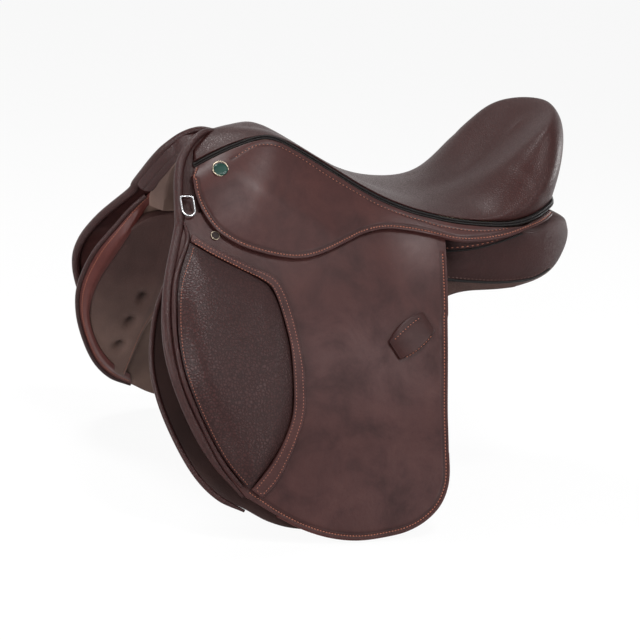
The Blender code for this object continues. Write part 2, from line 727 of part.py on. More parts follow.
def surcingle_keeper(finish, tag, side):
    y0, z0 = KEEPER_CENTRE
    direction = Vector((0.83, 0.56)).normalized()
    across = Vector((-direction.y, direction.x))
    rings = []
    for i in range(11):
        s = i / 10
        along = (s - 0.5) * KEEPER_LENGTH
        half = KEEPER_WIDTH / 2 * (0.45 + 0.55 * math.sin(math.pi * (0.12 + 0.76 * s)) ** 0.8)
        lift = LAYER + KEEPER_GAP * math.sin(math.pi * s) ** 0.6
        ring = []
        for part, height in ((-1, 0), (0, 0), (1, 0), (1, 1), (0, 1), (-1, 1)):
            y = y0 + direction.x * along + across.x * half * part
            z = z0 + direction.y * along + across.y * half * part
            ring.append(on_surface(flap_surface, y, z, lift + height * KEEPER_THICK))
        rings.append(ring)
    loft("surcingle_keeper_" + tag, rings, finish["smooth"], side)


# The sweat flap, its rolled edge and the blocks on it.

SWEAT_OUTLINE = [(-0.2150, -0.0230), (-0.2330, -0.0460), (-0.2480, -0.0740), (-0.2640, -0.1050),
                 (-0.2720, -0.1340), (-0.2745, -0.1640), (-0.2700, -0.1920), (-0.2600, -0.2210),
                 (-0.2430, -0.2550), (-0.2260, -0.2790), (-0.2050, -0.2970), (-0.1780, -0.3100)]
SWEAT_BOTTOM = [(-0.1780, -0.3100), (-0.1490, -0.3210), (-0.1160, -0.3290), (-0.0600, -0.3320),
                (-0.0050, -0.3290), (0.0300, -0.3140), (0.0480, -0.2950), (0.0550, -0.2700)]
SWEAT_REAR = [(0.0760, -0.0500), (0.0660, -0.1100), (0.0580, -0.1900), (0.0550, -0.2700)]
SWEAT_TOP = [(-0.2050, -0.0430), (-0.1500, -0.0530), (-0.0800, -0.0540), (0.0, -0.0540),
             (0.0760, -0.0500)]
SWEAT_SEAM = 0.0018             # gap between the sweat flap and its roll


def inset_line(points, distance):
    """The same line, moved to its rear side by a distance."""
    moved = []
    for i, place in enumerate(points):
        before = Vector(points[max(i - 1, 0)])
        after = Vector(points[min(i + 1, len(points) - 1)])
        run = (after - before).normalized()
        moved.append((place[0] - run.y * distance, place[1] + run.x * distance))
    return moved


def make_sweat_flap(finish, tag, side):
    front = inset_line(SWEAT_OUTLINE, 2 * SWEAT_ROLL + SWEAT_SEAM)
    top = [front[3], front[2], front[1]] + SWEAT_TOP
    bottom = front[7:] + SWEAT_BOTTOM[1:]
    shape = patch(flat(top), flat(bottom), flat(front[3:8]), flat(SWEAT_REAR))

    def point(u, v):
        place = shape(u, v)
        return on_surface(sweat_surface, place.x, place.y)
    sheet("sweat_flap_" + tag, point, 14, 8, SWEAT_LEATHER, finish["suede"], side)
    route = inset_line(SWEAT_OUTLINE, SWEAT_ROLL)[1:]
    line = [on_surface(sweat_surface, p.x, p.y, -SWEAT_LEATHER / 2)
            for p in spline(flat(route), 20)]
    tube("sweat_flap_roll_" + tag, [(p.x * side, p.y, p.z) for p in line], SWEAT_ROLL,
         finish["grained"])


def block_height(share):
    swell = crown(4)

    def height(u, v, y, z):
        step = 0.8 * (flap_surface(y, z) - sweat_surface(y, z)) - FLAP_LEATHER
        room = max(step - 0.0030, 0.003)
        return 0.002 + (room - 0.002) * share * swell(u, v)
    return height


def make_blocks(finish, tag, side):
    front = [(-0.2300, -0.0900), (-0.2420, -0.1300), (-0.2440, -0.1650), (-0.2340, -0.2050),
             (-0.2120, -0.2450)]
    rear = [(-0.1900, -0.0800), (-0.1760, -0.1200), (-0.1720, -0.1600), (-0.1780, -0.2050),
            (-0.1900, -0.2450)]
    top = [front[0], (-0.2100, -0.0830), rear[0]]
    bottom = [front[-1], (-0.2000, -0.2520), rear[-1]]
    shape = patch(flat(top), flat(bottom), flat(front), flat(rear))
    domed("knee_block_" + tag, shape, sweat_surface, LAYER, block_height(0.85), 5, 9,
          finish["grained"], side)
    front = [(0.0260, -0.1500), (0.0230, -0.1900), (0.0250, -0.2350)]
    rear = [(0.0520, -0.1400), (0.0500, -0.1900), (0.0470, -0.2300)]
    top = [front[0], (0.0390, -0.1430), rear[0]]
    bottom = [front[-1], (0.0360, -0.2370), rear[-1]]
    shape = patch(flat(top), flat(bottom), flat(front), flat(rear))
    domed("thigh_block_" + tag, shape, sweat_surface, LAYER, block_height(0.80), 4, 6,
          finish["grained"], side)


# The panel, as sections across the horse's back.

GULLET_HALF = 0.0340
PANEL_TOP = profile((-0.264, -0.150), (-0.252, -0.105), (-0.238, -0.075), (-0.222, -0.056),
                    (-0.200, -0.050), (-0.12, -0.048), (0.0, -0.036), (0.09, -0.026),
                    (0.15, -0.022), (0.19, -0.0135), (0.21, -0.0065), (0.235, -0.0065),
                    (0.260, -0.030))
PANEL_BOTTOM = profile((-0.264, -0.168), (-0.252, -0.220), (-0.238, -0.246), (-0.222, -0.265),
                       (-0.205, -0.281), (-0.194, -0.285), (-0.186, -0.215), (-0.172, -0.182),
                       (-0.150, -0.168), (-0.10, -0.158), (-0.03, -0.138), (0.04, -0.110),
                       (0.10, -0.094), (0.15, -0.092), (0.19, -0.088), (0.22, -0.081),
                       (0.24, -0.071), (0.260, -0.050))
# The panel's half width at the rear, as a share of the seat's, by y.
PANEL_OUTER = profile((0.06, 1.4286), (0.10, 1.7000), (0.15, 1.7429), (0.19, 1.6857),
                      (0.22, 1.5571), (0.24, 1.3429), (0.260, 0.9143))
PANEL_DEPTH = profile((-0.264, 0.007), (-0.24, 0.015), (-0.20, 0.022), (-0.10, 0.034),
                      (0.0, 0.050), (0.08, 0.070), (0.12, 0.082), (0.18, 0.080), (0.21, 0.072),
                      (0.24, 0.056), (0.260, 0.022))
PANEL_RISE = profile((-0.264, 0.0), (-0.21, 0.002), (-0.18, 0.008), (-0.10, 0.010), (0.0, 0.006),
                     (0.08, 0.0), (0.24, 0.0))
PANEL_STATIONS = (-0.262, -0.252, -0.238, -0.222, -0.206, -0.194, -0.187, -0.176, -0.155,
                  -0.120, -0.075, -0.030, 0.015, 0.060, 0.082, 0.110, 0.140,
                  0.172, 0.200, 0.222, 0.240, 0.252, 0.258)


def panel_outer_x(y, z):
    rear = smoothstep(y, 0.080, 0.110)
    under = on_surface(sweat_surface, y, z).x - 0.0060
    return under * (1 - rear) + SEAT_SIDE * PANEL_OUTER(y) * rear


def panel_ring(y):
    top, bottom = PANEL_TOP(y), PANEL_BOTTOM(y)
    depth = PANEL_DEPTH(y)
    rear = smoothstep(y, 0.03, 0.12)
    outer = []
    inner = []
    count = 6
    for i in range(count):
        v = i / (count - 1)
        z = top + (bottom - top) * v
        x = panel_outer_x(y, z)
        slope = (panel_outer_x(y, z + 0.002) - panel_outer_x(y, z - 0.002)) / 0.004
        inward = Vector((-1.0, slope)).normalized()
        low_edge = 0.30 + 0.55 * rear
        swell = low_edge + (1 - low_edge) * math.sin(math.pi * (0.12 + 0.80 * v)) ** 0.7
        tuck = 0.012 * rear * max(0.0, v - 0.6) / 0.4
        outer.append(Vector((x - tuck, z)))
        place = Vector((x, z)) + inward * depth * swell
        place.x = max(place.x, GULLET_HALF + 0.0015 * i)
        inner.append(place)
    inner[0].y = inner[0].y + PANEL_RISE(y)
    crest = outer[0].lerp(inner[0], 0.5)
    foot = outer[-1].lerp(inner[-1], 0.5) + Vector((0.0, -0.006 * (0.3 + rear)))
    ring = outer + [foot] + list(reversed(inner)) + [crest]
    return [Vector((p.x, y, p.y)) for p in ring]


def make_panel(finish, tag, side):
    rings = [panel_ring(y) for y in PANEL_STATIONS]
    loft("panel_" + tag, rings, finish["lining"], side)


ARCH_HALF = 0.0085
ARCH_DEPTH = 0.0038


def pommel_facing(finish):
    """The padded arch round the front of the gullet, under the rolls."""
    right_half = widen([(0.0000, -0.2084, 0.0375), (0.2571, -0.2094, 0.0305),
                        (0.5000, -0.2125, 0.0170), (0.7571, -0.2168, -0.0010),
                        (0.9857, -0.2222, -0.0195)])
    line = spline([(-x, y, z) for x, y, z in reversed(right_half[1:])] + right_half, 19)
    rings = []
    for i, place in enumerate(line):
        before, after = line[max(i - 1, 0)], line[min(i + 1, len(line) - 1)]
        run = (after - before).normalized()
        out = run.cross(Vector((0, 1, 0))).normalized()
        fore = out.cross(run).normalized()
        taper = 0.55 + 0.45 * min(1.0, min(i, len(line) - 1 - i) / 4)
        ring = []
        for k in range(8):
            angle = math.tau * k / 8
            ring.append(place + out * math.cos(angle) * ARCH_HALF * taper
                        + fore * math.sin(angle) * ARCH_DEPTH)
        rings.append(ring)
    loft("pommel_facing", rings, finish["grained"])


# What hangs under the flap.

BILLET_WIDTH = 0.0250
BILLET_THICK = 0.0035
BILLET_SEWN = 0.0008           # extra thickness where the billet is sewn double
BILLET_PITCH = 0.0330
BILLET_MIDDLE = -0.0520
BILLET_TOP = -0.0500
BILLET_END = -0.2900
BILLET_STAND = 0.0055
SEWN_LENGTH = 0.1500
GUARD_LENGTH = 0.0850
GUARD_TOP = 0.0350
GUARD_SLIDE = 0.0500
GUARD_THICK = 0.0025
GUARD_BACK = 0.0012
GUARD_MARGIN = 0.0070          # leather beside the outer tunnels
GUARD_ROOM = 0.0007            # play beside each billet in its tunnel
CUT_PAST = 0.0100              # how far a cutter runs past what it cuts


def billet_frame():
    """Top point, direction down and outward normal of the billets' plane."""
    high = Vector((sweat_surface(-0.05, BILLET_TOP) + BILLET_STAND, 0.0, BILLET_TOP))
    low = Vector((sweat_surface(-0.05, BILLET_END) + BILLET_STAND, 0.0, BILLET_END))
    down = (low - high).normalized()
    out = Vector((-down.z, 0.0, down.x))
    return high, down, out, (low - high).length


def make_billets(finish, tag, side):
    high, down, out, length = billet_frame()
    for number, name in enumerate(("front", "middle", "rear")):
        y = BILLET_MIDDLE + (number - 1) * BILLET_PITCH
        stations = ((0.0, 1.0, 1), (SEWN_LENGTH, 1.0, 1), (SEWN_LENGTH + 0.001, 1.0, 0),
                    (length - 0.016, 1.0, 0), (length - 0.005, 0.62, 0), (length, 0.25, 0))
        rings = []
        for along, width, sewn in stations:
            thick = BILLET_THICK + BILLET_SEWN * sewn
            half = BILLET_WIDTH / 2 * width
            ring = []
            for across, lift in ((-half, 0), (half, 0), (half, thick), (-half, thick)):
                ring.append(high + down * along + out * lift + Vector((0, y + across, 0)))
            rings.append(ring)
        loft("billet_%s_%s" % (name, tag), rings, finish["lining"], side, False)


def buckle_guard(finish, tag, side):
    """A leather plate with three tunnels, one for each billet."""
    high, down, out, _ = billet_frame()
    reach = BILLET_PITCH + BILLET_WIDTH / 2 + GUARD_MARGIN
    back = GUARD_BACK + FIT
    front = BILLET_THICK + BILLET_SEWN + FIT + GUARD_THICK

    def block(name, low_y, high_y, low_out, high_out, start, end):
        rings = []
        for along in (start, end):
            ring = []
            for y, lift in ((low_y, low_out), (high_y, low_out), (high_y, high_out),
                            (low_y, high_out)):
                ring.append(high + down * along + out * lift + Vector((0, y, 0)))
            rings.append(ring)
        return loft(name, rings, finish["smooth"], side, False)
    plate = block("buckle_guard_" + tag, BILLET_MIDDLE - reach, BILLET_MIDDLE + reach,
                  -back, front, GUARD_TOP, GUARD_TOP + GUARD_LENGTH)
    for number in range(3):
        y = BILLET_MIDDLE + (number - 1) * BILLET_PITCH
        half = BILLET_WIDTH / 2 + GUARD_ROOM
        cutter = block("guard_tunnel_%s_%d" % (tag, number), y - half, y + half, -FIT,
                       BILLET_THICK + BILLET_SEWN + FIT, GUARD_TOP - CUT_PAST,
                       GUARD_TOP + GUARD_LENGTH + CUT_PAST)
        cut(plate, cutter)


WEB_FRONT, WEB_REAR = -0.0990, -0.0050
WEB_HANG = 0.0020
WEB_SEWN = 0.0120              # how far the web runs down behind the billets


def girth_web(finish, tag, side):
    """The web that hangs from the tree's edge and carries the billets."""
    high, down, out, _ = billet_frame()

    def point(u, v):
        y = WEB_FRONT + (WEB_REAR - WEB_FRONT) * u
        t = 0.0
        while TREE_EDGE_AT(t).y < y:
            t += 0.002
        top = Vector((TREE_EDGE_AT(t).x + WEB_HANG + FIT, y, TREE_EDGE_AT(t).z))
        bend = high - out * FIT + Vector((0.0, y, 0.0))
        if v < 0.25:
            return bend + down * WEB_SEWN * (1 - v / 0.25)
        return bend.lerp(top, (v - 0.25) / 0.75)
    sheet("girth_web_" + tag, point, 6, 4, WEB_HANG, finish["webbing"], side)


# The stirrup bar: a forged bracket, and the catch at its open end.

BAR_CENTRE = (-0.0730, -0.0096)
BAR_LENGTH = 0.0740
BAR_WIDTH = 0.0120
BAR_THICK = 0.0050
BAR_PLATE = 0.0030
BAR_OUT = 0.0005               # its outer face, over the flap's surface
BAR_GAP = 0.0090               # room for the stirrup leather behind it
CATCH_LENGTH = 0.0170
CATCH_RADIUS = BAR_WIDTH / 2 - 0.0010
BAR_SLOPE = -0.06              # how it falls towards the rear


def catch_pivot():
    """How far the catch's pin lies from the bar's centre, along the bar."""
    return BAR_LENGTH / 2 - 0.0020 + CATCH_RADIUS + FIT


def bar_frame():
    y, z = BAR_CENTRE
    place = on_surface(flap_surface, y, z)
    out = (on_surface(flap_surface, y, z, 1.0) - place).normalized()
    along = Vector((0.0, 1.0, BAR_SLOPE))
    along = (along - out * along.dot(out)).normalized()
    down = out.cross(along)
    if down.z > 0:
        down = -down
    return place, along, down, out


def bar_prism(name, outline, low, high, plane, finish, side):
    """An outline in two of the bar's directions, given its size in the third."""
    place, along, down, out = bar_frame()
    axes = {"side": (along, out, down), "face": (along, down, out)}[plane]
    rings = []
    for depth in (low, high):
        rings.append([place + axes[0] * a + axes[1] * b + axes[2] * depth for a, b in outline])
    return loft(name, rings, finish, side, False)


def make_stirrup_bar(finish, tag, side):
    half = BAR_LENGTH / 2
    post = 0.0080
    inner = BAR_OUT - BAR_THICK
    back = inner - BAR_GAP
    outline = [(-half, back - BAR_PLATE), (half, back - BAR_PLATE), (half, back),
               (-half + post, back), (-half + post, inner), (half - 0.002, inner),
               (half - 0.002, BAR_OUT), (-half + 0.003, BAR_OUT), (-half, BAR_OUT - 0.003)]
    bar_prism("stirrup_bar_" + tag, outline, -BAR_WIDTH / 2, BAR_WIDTH / 2, "side",
              finish["forged"], side)
    radius = CATCH_RADIUS
    pivot = catch_pivot()
    shape = []
    for i in range(7):
        angle = math.radians(90 + 30 * i)
        shape.append((pivot + radius * math.cos(angle), radius * math.sin(angle)))
    shape += [(pivot + CATCH_LENGTH - radius, -radius * 0.9),
              (pivot + CATCH_LENGTH - radius + 0.003, -radius * 0.3),
              (pivot + CATCH_LENGTH - radius, radius * 0.9)]
    bar_prism("stirrup_catch_" + tag, shape, inner + 0.0005, BAR_OUT - 0.0005, "face",
              finish["steel"], side)


# Small pieces that show at the front.

DEE_TOP = (-0.2231, 0.0020)     # (y, z) of its upper bar on the flap's surface
DEE_LIFT = 0.0045
DEE_WIRE = 0.0013
DEE_HALF = 0.0074
DEE_DROP = 0.0250
CHAPE_THICK = 0.0012           # the leather loop that holds the D-ring
CHAPE_HALF = 0.0036
CHAPE_ROOM = 0.0006


def make_front_dee(finish, tag, side):
    top_y, top_z = DEE_TOP
    lift, wire, half, drop = DEE_LIFT, DEE_WIRE, DEE_HALF, DEE_DROP

    def at(y, down):
        base = on_surface(flap_surface, top_y, top_z, lift)
        slope = (on_surface(flap_surface, top_y, top_z - 0.02, lift) - base).normalized()
        return base + Vector((0, y, 0)) + slope * down
    points = [at(-half + 0.001, 0.0), at(half - 0.001, 0.0), at(half, 0.0015)]
    points += [at(half, drop - half)]
    for i in range(1, 8):
        angle = math.pi * i / 8
        points.append(at(half * math.cos(angle), drop - half + half * math.sin(angle)))
    points += [at(-half, drop - half), at(-half, 0.0015)]
    tube("front_dee_" + tag, [(p.x * side, p.y, p.z) for p in points], wire, finish["steel"],
         2, True)
    base = on_surface(flap_surface, top_y, top_z, lift)
    slope = (on_surface(flap_surface, top_y, top_z - 0.02, lift) - base).normalized()
    out = Vector((-slope.z, 0.0, slope.x))
    room = wire + CHAPE_ROOM
    loop = []
    for radius, turns in ((room + CHAPE_THICK, range(8)), (room, range(7, -1, -1))):
        for i in turns:
            angle = math.radians(-160 + 40 * i)
            loop.append((math.sin(angle) * -radius, math.cos(angle) * -radius))
    rings = []
    for y in (-CHAPE_HALF, CHAPE_HALF):
        rings.append([base + Vector((0, y, 0)) - slope * up + out * lift_out
                      for up, lift_out in loop])
    loft("dee_chape_" + tag, rings, finish["grained"], side, False)


def disc(name, radius, thick, y, z, lift, surface, finish, side, count=16):
    """A low domed disc on a surface."""
    base = on_surface(surface, y, z, lift)
    out = (on_surface(surface, y, z, lift + 1.0) - base).normalized()
    along = Vector((0, 1, 0))
    along = (along - out * along.dot(out)).normalized()
    across = out.cross(along)
    rings = []
    for height, size in ((0.0, 1.0), (thick * 0.55, 1.0), (thick, 0.82)):
        ring = []
        for i in range(count):
            angle = math.tau * i / count
            ring.append(base + out * height + (along * math.cos(angle)
                                               + across * math.sin(angle)) * radius * size)
        rings.append(ring)
    return loft(name, rings, finish, side)


def on_skirt(u, v, lift):
    """A point over the skirt's outer face, with the outward direction there."""
    step = 0.01
    place = skirt_surface(u, v)
    run = skirt_surface(u + step, v) - skirt_surface(u - step, v)
    rise = skirt_surface(u, v + step) - skirt_surface(u, v - step)
    out = run.cross(rise).normalized()
    if out.x < 0:
        out = -out
    return place + out * lift, out


def skirt_share(y, z):
    """The (u, v) of the skirt that lies nearest to a place seen from the side."""
    best = None
    for i in range(0, 101):
        for j in range(0, 51):
            place = skirt_surface(i / 200, j / 50)
            gap = (place.y - y) ** 2 + (place.z - z) ** 2
            if best is None or gap < best[0]:
                best = (gap, i / 200, j / 50)
    return best[1], best[2]


STUD_PLACE = (-0.1808, 0.0318)
STUD_RADIUS = 0.0090
STUD_THICK = 0.0030
NAIL_PLACE = (-0.1960, -0.0322)
NAIL_RADIUS = 0.0050


def pommel_stud(finish, tag, side):
    u, v = skirt_share(*STUD_PLACE)
    base, out = on_skirt(u, v, FIT)
    along = Vector((0, 1, 0))
    along = (along - out * along.dot(out)).normalized()
    across = out.cross(along)
    rings = []
    for height, size in ((0.0, 1.0), (STUD_THICK * 0.6, 1.0), (STUD_THICK, 0.86),
                         (STUD_THICK * 0.8, 0.78)):
        rings.append([base + out * height + (along * math.cos(math.tau * i / 20)
                      + across * math.sin(math.tau * i / 20)) * STUD_RADIUS * size
                      for i in range(20)])
    loft("pommel_stud_" + tag, rings, finish["enamel"], side)


WELT_SHARE = 0.90


def make_welt(finish, tag, side):
    points = []
    count = 26
    for i in range(count):
        t = WELT_SHARE * i / (count - 1)
        run = (SEAT_WELT_AT(t + 0.01) - SEAT_WELT_AT(max(t - 0.01, 0.0))).normalized()
        steep = max((1 - run.z ** 2) ** 0.5, 0.5)
        points.append(SEAT_WELT_AT(t) + Vector((0.0015, 0.0, (-WELT - LAYER) / steep - 0.0001)))
    tube("seat_welt_" + tag, [(p.x * side, p.y, p.z) for p in points], WELT, finish["piping"], 2)


# The joints: each gives a point on its axis and its direction, on the near side.

HINGE_PROUD = 0.0018            # how far a leather hinge's axis stands over the fold


def hinge_line(places):
    """The straight axis over a fold, just clear of every place along it."""
    first, last = places[0], places[-1]
    along = (last - first).normalized()
    out = Vector((1.0, 0.0, 0.6))
    out = (out - along * out.dot(along)).normalized()
    reach = max((place - first).dot(out) for place in places) + HINGE_PROUD
    return (first + last) / 2 + out * reach, along


def flap_hinge():
    (y0, _), (y1, _) = FLAP_FOLD
    steps = [y0 + (y1 - y0) * i / 20 for i in range(21)]
    return hinge_line([on_surface(flap_surface, y, flap_fold_z(y)) for y in steps])


def skirt_hinge():
    places = []
    for i in range(201):
        top = split_share(i / 200, *SKIRT_FOLD)
        if top > 0.0:
            places.append(skirt_surface(i / 200, top))
    return hinge_line(places)


def catch_hinge():
    place, along, _, out = bar_frame()
    return place + along * catch_pivot() + out * BAR_OUT, out


def dee_hinge():
    return on_surface(flap_surface, *DEE_TOP, DEE_LIFT), Vector((0.0, 1.0, 0.0))


def billet_hinge(number):
    high, _, out, _ = billet_frame()
    y = BILLET_MIDDLE + (number - 1) * BILLET_PITCH
    return high + Vector((0.0, y, 0.0)), out


def guard_slide():
    high, down, _, _ = billet_frame()
    return high + down * GUARD_TOP + Vector((0.0, BILLET_MIDDLE, 0.0)), down


def place_origins(tag, side):
    """Put each moving piece's origin on its joint's axis."""
    hinges = {"flap": flap_hinge(), "knee_pad": flap_hinge(), "knee_pad_facing": flap_hinge(),
              "flap_roll": flap_hinge(), "surcingle_keeper": flap_hinge(),
              "skirt": skirt_hinge(), "stirrup_catch": catch_hinge(), "front_dee": dee_hinge(),
              "billet_front": billet_hinge(0), "billet_middle": billet_hinge(1),
              "billet_rear": billet_hinge(2), "buckle_guard": guard_slide()}
    for name, (place, _) in hinges.items():
        item = bpy.data.objects[name + "_" + tag]
        origin = Vector((place.x * side, place.y, place.z))
        item.data.transform(Matrix.Translation(-origin))
        item.location = origin


def main():
    start_scene()
    finish = make_finishes()
    make_seat(finish)
    seat_web(finish)
    head_plate(finish)
    pommel_facing(finish)
    for tag, side in SIDES:
        make_skirt(finish, tag, side)
        make_flap(finish, tag, side)
        make_knee_pad(finish, tag, side)
        make_rolls(finish, tag, side)
        surcingle_keeper(finish, tag, side)
        make_sweat_flap(finish, tag, side)
        make_blocks(finish, tag, side)
        make_panel(finish, tag, side)
        make_billets(finish, tag, side)
        buckle_guard(finish, tag, side)
        girth_web(finish, tag, side)
        make_stirrup_bar(finish, tag, side)
        make_front_dee(finish, tag, side)
        pommel_stud(finish, tag, side)
        disc("flap_nail_" + tag, NAIL_RADIUS, 0.0020, *NAIL_PLACE, FIT, flap_surface,
             finish["forged"], side, 12)
        make_welt(finish, tag, side)
        place_origins(tag, side)


main()
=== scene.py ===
"""Looks of the all-purpose saddle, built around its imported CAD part.

Metres, in the CAD's frame: -Y forward, +X the near side, +Z up.
"""

import json
import math

import bmesh
import bpy
import numpy as np
from mathutils import Matrix, Vector
from mathutils.bvhtree import BVHTree
from mathutils.kdtree import KDTree

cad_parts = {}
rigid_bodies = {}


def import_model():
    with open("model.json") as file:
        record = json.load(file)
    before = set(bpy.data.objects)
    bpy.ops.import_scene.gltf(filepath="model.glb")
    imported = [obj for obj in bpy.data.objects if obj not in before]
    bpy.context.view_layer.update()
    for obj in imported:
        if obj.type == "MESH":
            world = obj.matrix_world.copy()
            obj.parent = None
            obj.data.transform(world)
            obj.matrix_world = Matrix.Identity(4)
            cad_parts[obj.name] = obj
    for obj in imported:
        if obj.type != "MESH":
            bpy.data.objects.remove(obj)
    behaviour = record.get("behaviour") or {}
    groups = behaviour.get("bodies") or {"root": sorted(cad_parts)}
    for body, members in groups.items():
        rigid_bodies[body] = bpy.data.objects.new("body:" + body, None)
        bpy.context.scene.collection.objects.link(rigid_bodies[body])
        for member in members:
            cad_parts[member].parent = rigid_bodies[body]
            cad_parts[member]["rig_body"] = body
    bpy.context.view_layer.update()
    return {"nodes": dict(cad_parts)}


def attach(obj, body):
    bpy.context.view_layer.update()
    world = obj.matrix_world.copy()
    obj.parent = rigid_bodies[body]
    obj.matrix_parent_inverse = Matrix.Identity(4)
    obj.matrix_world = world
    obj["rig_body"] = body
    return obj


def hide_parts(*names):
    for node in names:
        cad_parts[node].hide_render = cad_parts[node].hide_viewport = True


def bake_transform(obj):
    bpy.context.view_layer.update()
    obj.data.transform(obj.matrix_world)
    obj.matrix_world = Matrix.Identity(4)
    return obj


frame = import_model()
SIDES = (("l", 1), ("r", -1))


# Lines: a flat one is (y, z, 0) points, and a seam is (place, outward) pairs.

def run_lengths(places):
    """The distance along a polyline to each of its points."""
    steps = np.linalg.norm(np.diff(places, axis=0), axis=1)
    return np.concatenate([[0], np.cumsum(steps)])


def resampled(points, count=0, pitch=0.0008):
    """Evenly spaced points along a polyline, as the rows of an array."""
    places = np.array([tuple(p) for p in points], float)
    lengths = run_lengths(places)
    at = np.linspace(0, lengths[-1], count or max(int(lengths[-1] / pitch), 2))
    return np.stack([np.interp(at, lengths, column) for column in places.T], 1)


def spline(points, count):
    """Evenly spaced points on a smooth curve through the given ones."""
    points = [Vector(p) for p in points]
    padded = [2 * points[0] - points[1]] + points + [2 * points[-1] - points[-2]]
    dense = []
    for a, b, c, d in zip(padded, padded[1:], padded[2:], padded[3:]):
        for step in range(12):
            t = step / 12
            dense.append(0.5 * ((2 * b) + (c - a) * t + (2 * a - 5 * b + 4 * c - d) * t * t
                                + (3 * b - a - 3 * c + d) * t ** 3))
    dense.append(points[-1])
    return [Vector(row) for row in resampled(dense, count)]


def line_function(points):
    dense = spline(points, 129)

    def at(t):
        place = min(max(t, 0.0) * 128, 127.999)
        low = int(place)
        return dense[low].lerp(dense[low + 1], place - low)
    return at


def profile(*points):
    """A smooth function of one value through (position, value) points."""
    def value(at):
        at = min(max(at, points[0][0]), points[-1][0])
        for i in range(len(points) - 1):
            (x0, y0), (x1, y1) = points[i], points[i + 1]
            if at <= x1:
                break
        before = points[max(i - 1, 0)]
        after = points[min(i + 2, len(points) - 1)]
        width = x1 - x0
        slope0 = (y1 - before[1]) / (x1 - before[0]) * width
        slope1 = (after[1] - y0) / (after[0] - x0) * width
        t = (at - x0) / width
        return ((2 * t ** 3 - 3 * t * t + 1) * y0 + (t ** 3 - 2 * t * t + t) * slope0
                + (3 * t * t - 2 * t ** 3) * y1 + (t ** 3 - t * t) * slope1)
    return value


def smoothstep(value, low, high):
    t = min(max((value - low) / (high - low), 0.0), 1.0)
    return t * t * (3 - 2 * t)


def mm(*points):
    """Points that are given in millimetres, in metres."""
    return [tuple(round(value / 1000, 6) for value in point) for point in points]


def flat(points):
    return [(y, z, 0.0) for y, z in points]


def sided(points, side):
    return [Vector((p[0] * side, p[1], p[2])) for p in points]


def shifted(line, distance):
    """A (y, z) line moved sideways, to the left of its run for a positive distance."""
    moved = []
    for i, place in enumerate(line):
        run = Vector(line[min(i + 1, len(line) - 1)]) - Vector(line[max(i - 1, 0)])
        run.normalize()
        moved.append((place[0] - run.y * distance, place[1] + run.x * distance))
    return moved


def inset(points, distance, count):
    """A smooth (y, z) line through the points, moved sideways."""
    return shifted(spline(flat(points), count), distance)


def even(count):
    """Shares of a length at equal steps."""
    return [i / count for i in range(count + 1)]


def shares(length, step, rim_step=0.0009, rim=0.009):
    """Shares of a length, closer together near both ends."""
    near = list(np.arange(0, rim, rim_step) / length)
    middle = list(np.linspace(rim / length, 1 - rim / length, max(int(length / step), 2)))
    return near + middle + [1 - value for value in reversed(near)]


# Surfaces that the leather follows, with their sizes as in the part's source.

SEAT_SIDE = 0.07
FLAP_REACH = 0.221
FLAP_CURVE = 0.217
SWEAT_OUT = 0.053
SWEAT_LEVEL = 0.1
SWEAT_SLOPE = 0.513
SWEAT_CURVE = 0.142
REAR_SPREAD = 3.9
REAR_SPREAD_DROP = 0.11
FRONT_BULGE = 0.0215
BULGE_PULL = (0.41, 0.29)      # how far the bulge pulls an edge forward and up, as its shares
LEATHER = 0.004
FLAP_LEATHER = 0.0045
SWEAT_LEATHER = 0.0035


def spread(y, z):
    return REAR_SPREAD * max(y, 0.0) ** 2 * math.exp(z / REAR_SPREAD_DROP)


def front_bulge(y, z):
    fore = smoothstep(-y, 0.15, 0.25)
    high = smoothstep(-z, 0.033, 0.105) * (1 - smoothstep(-z, 0.135, 0.245))
    return FRONT_BULGE * fore * high


def forward(points):
    """Move an outline's points to where they lie once the front bulges."""
    moved = []
    for y, z in points:
        out = front_bulge(y, z)
        moved.append((y - BULGE_PULL[0] * out, z + BULGE_PULL[1] * out))
    return moved


def flap_surface(y, z):
    plain = SEAT_SIDE + FLAP_REACH * (1 - math.exp(z / FLAP_CURVE))
    return plain + spread(y, z) + front_bulge(y, z)


def sweat_surface(y, z):
    below = z + SWEAT_LEVEL
    level = SEAT_SIDE + SWEAT_OUT
    return level - SWEAT_SLOPE * below - SWEAT_CURVE * below ** 2 + spread(y, z)


def normal_at(surface, y, z):
    step = 0.001
    slope_y = (surface(y + step, z) - surface(y - step, z)) / (2 * step)
    slope_z = (surface(y, z + step) - surface(y, z - step)) / (2 * step)
    return Vector((1.0, -slope_y, -slope_z)).normalized()


def on_surface(surface, y, z, offset=0.0):
    return Vector((surface(y, z), y, z)) + normal_at(surface, y, z) * offset


def outline(points, count):
    """A smooth (y, z, 0) line through an outline's points where the bulge moves them."""
    return spline(flat(forward(points)), count)


def flap_seam(points, side, count, lift=0.0):
    """A seam along (y, z) points of the flap's surface."""
    seam = []
    for p in spline(flat(points), count):
        pair = (on_surface(flap_surface, p.x, p.y, lift), normal_at(flap_surface, p.x, p.y))
        seam.append(tuple(sided(pair, side)))
    return seam


def patch(top, bottom, front, rear):
    """A Coons patch between four (y, z) edges; u runs to the rear and v runs up."""
    top, bottom, front, rear = (line_function(flat(edge)) for edge in (top, bottom, front, rear))

    def point(u, v):
        down = 1 - v
        ruled = top(u) * v + bottom(u) * (1 - v)
        across = front(down) * (1 - u) + rear(down) * u
        corners = (top(0) * (1 - u) * v + top(1) * u * v
                   + bottom(0) * (1 - u) * (1 - v) + bottom(1) * u * (1 - v))
        return ruled + across - corners
    return point


# Meshes.

def add_mesh(name, mesh, finish):
    item = bpy.data.objects.new(name, mesh)
    bpy.context.scene.collection.objects.link(item)
    mesh.materials.clear()
    mesh.materials.append(finish)
    mesh.shade_smooth()
    return item


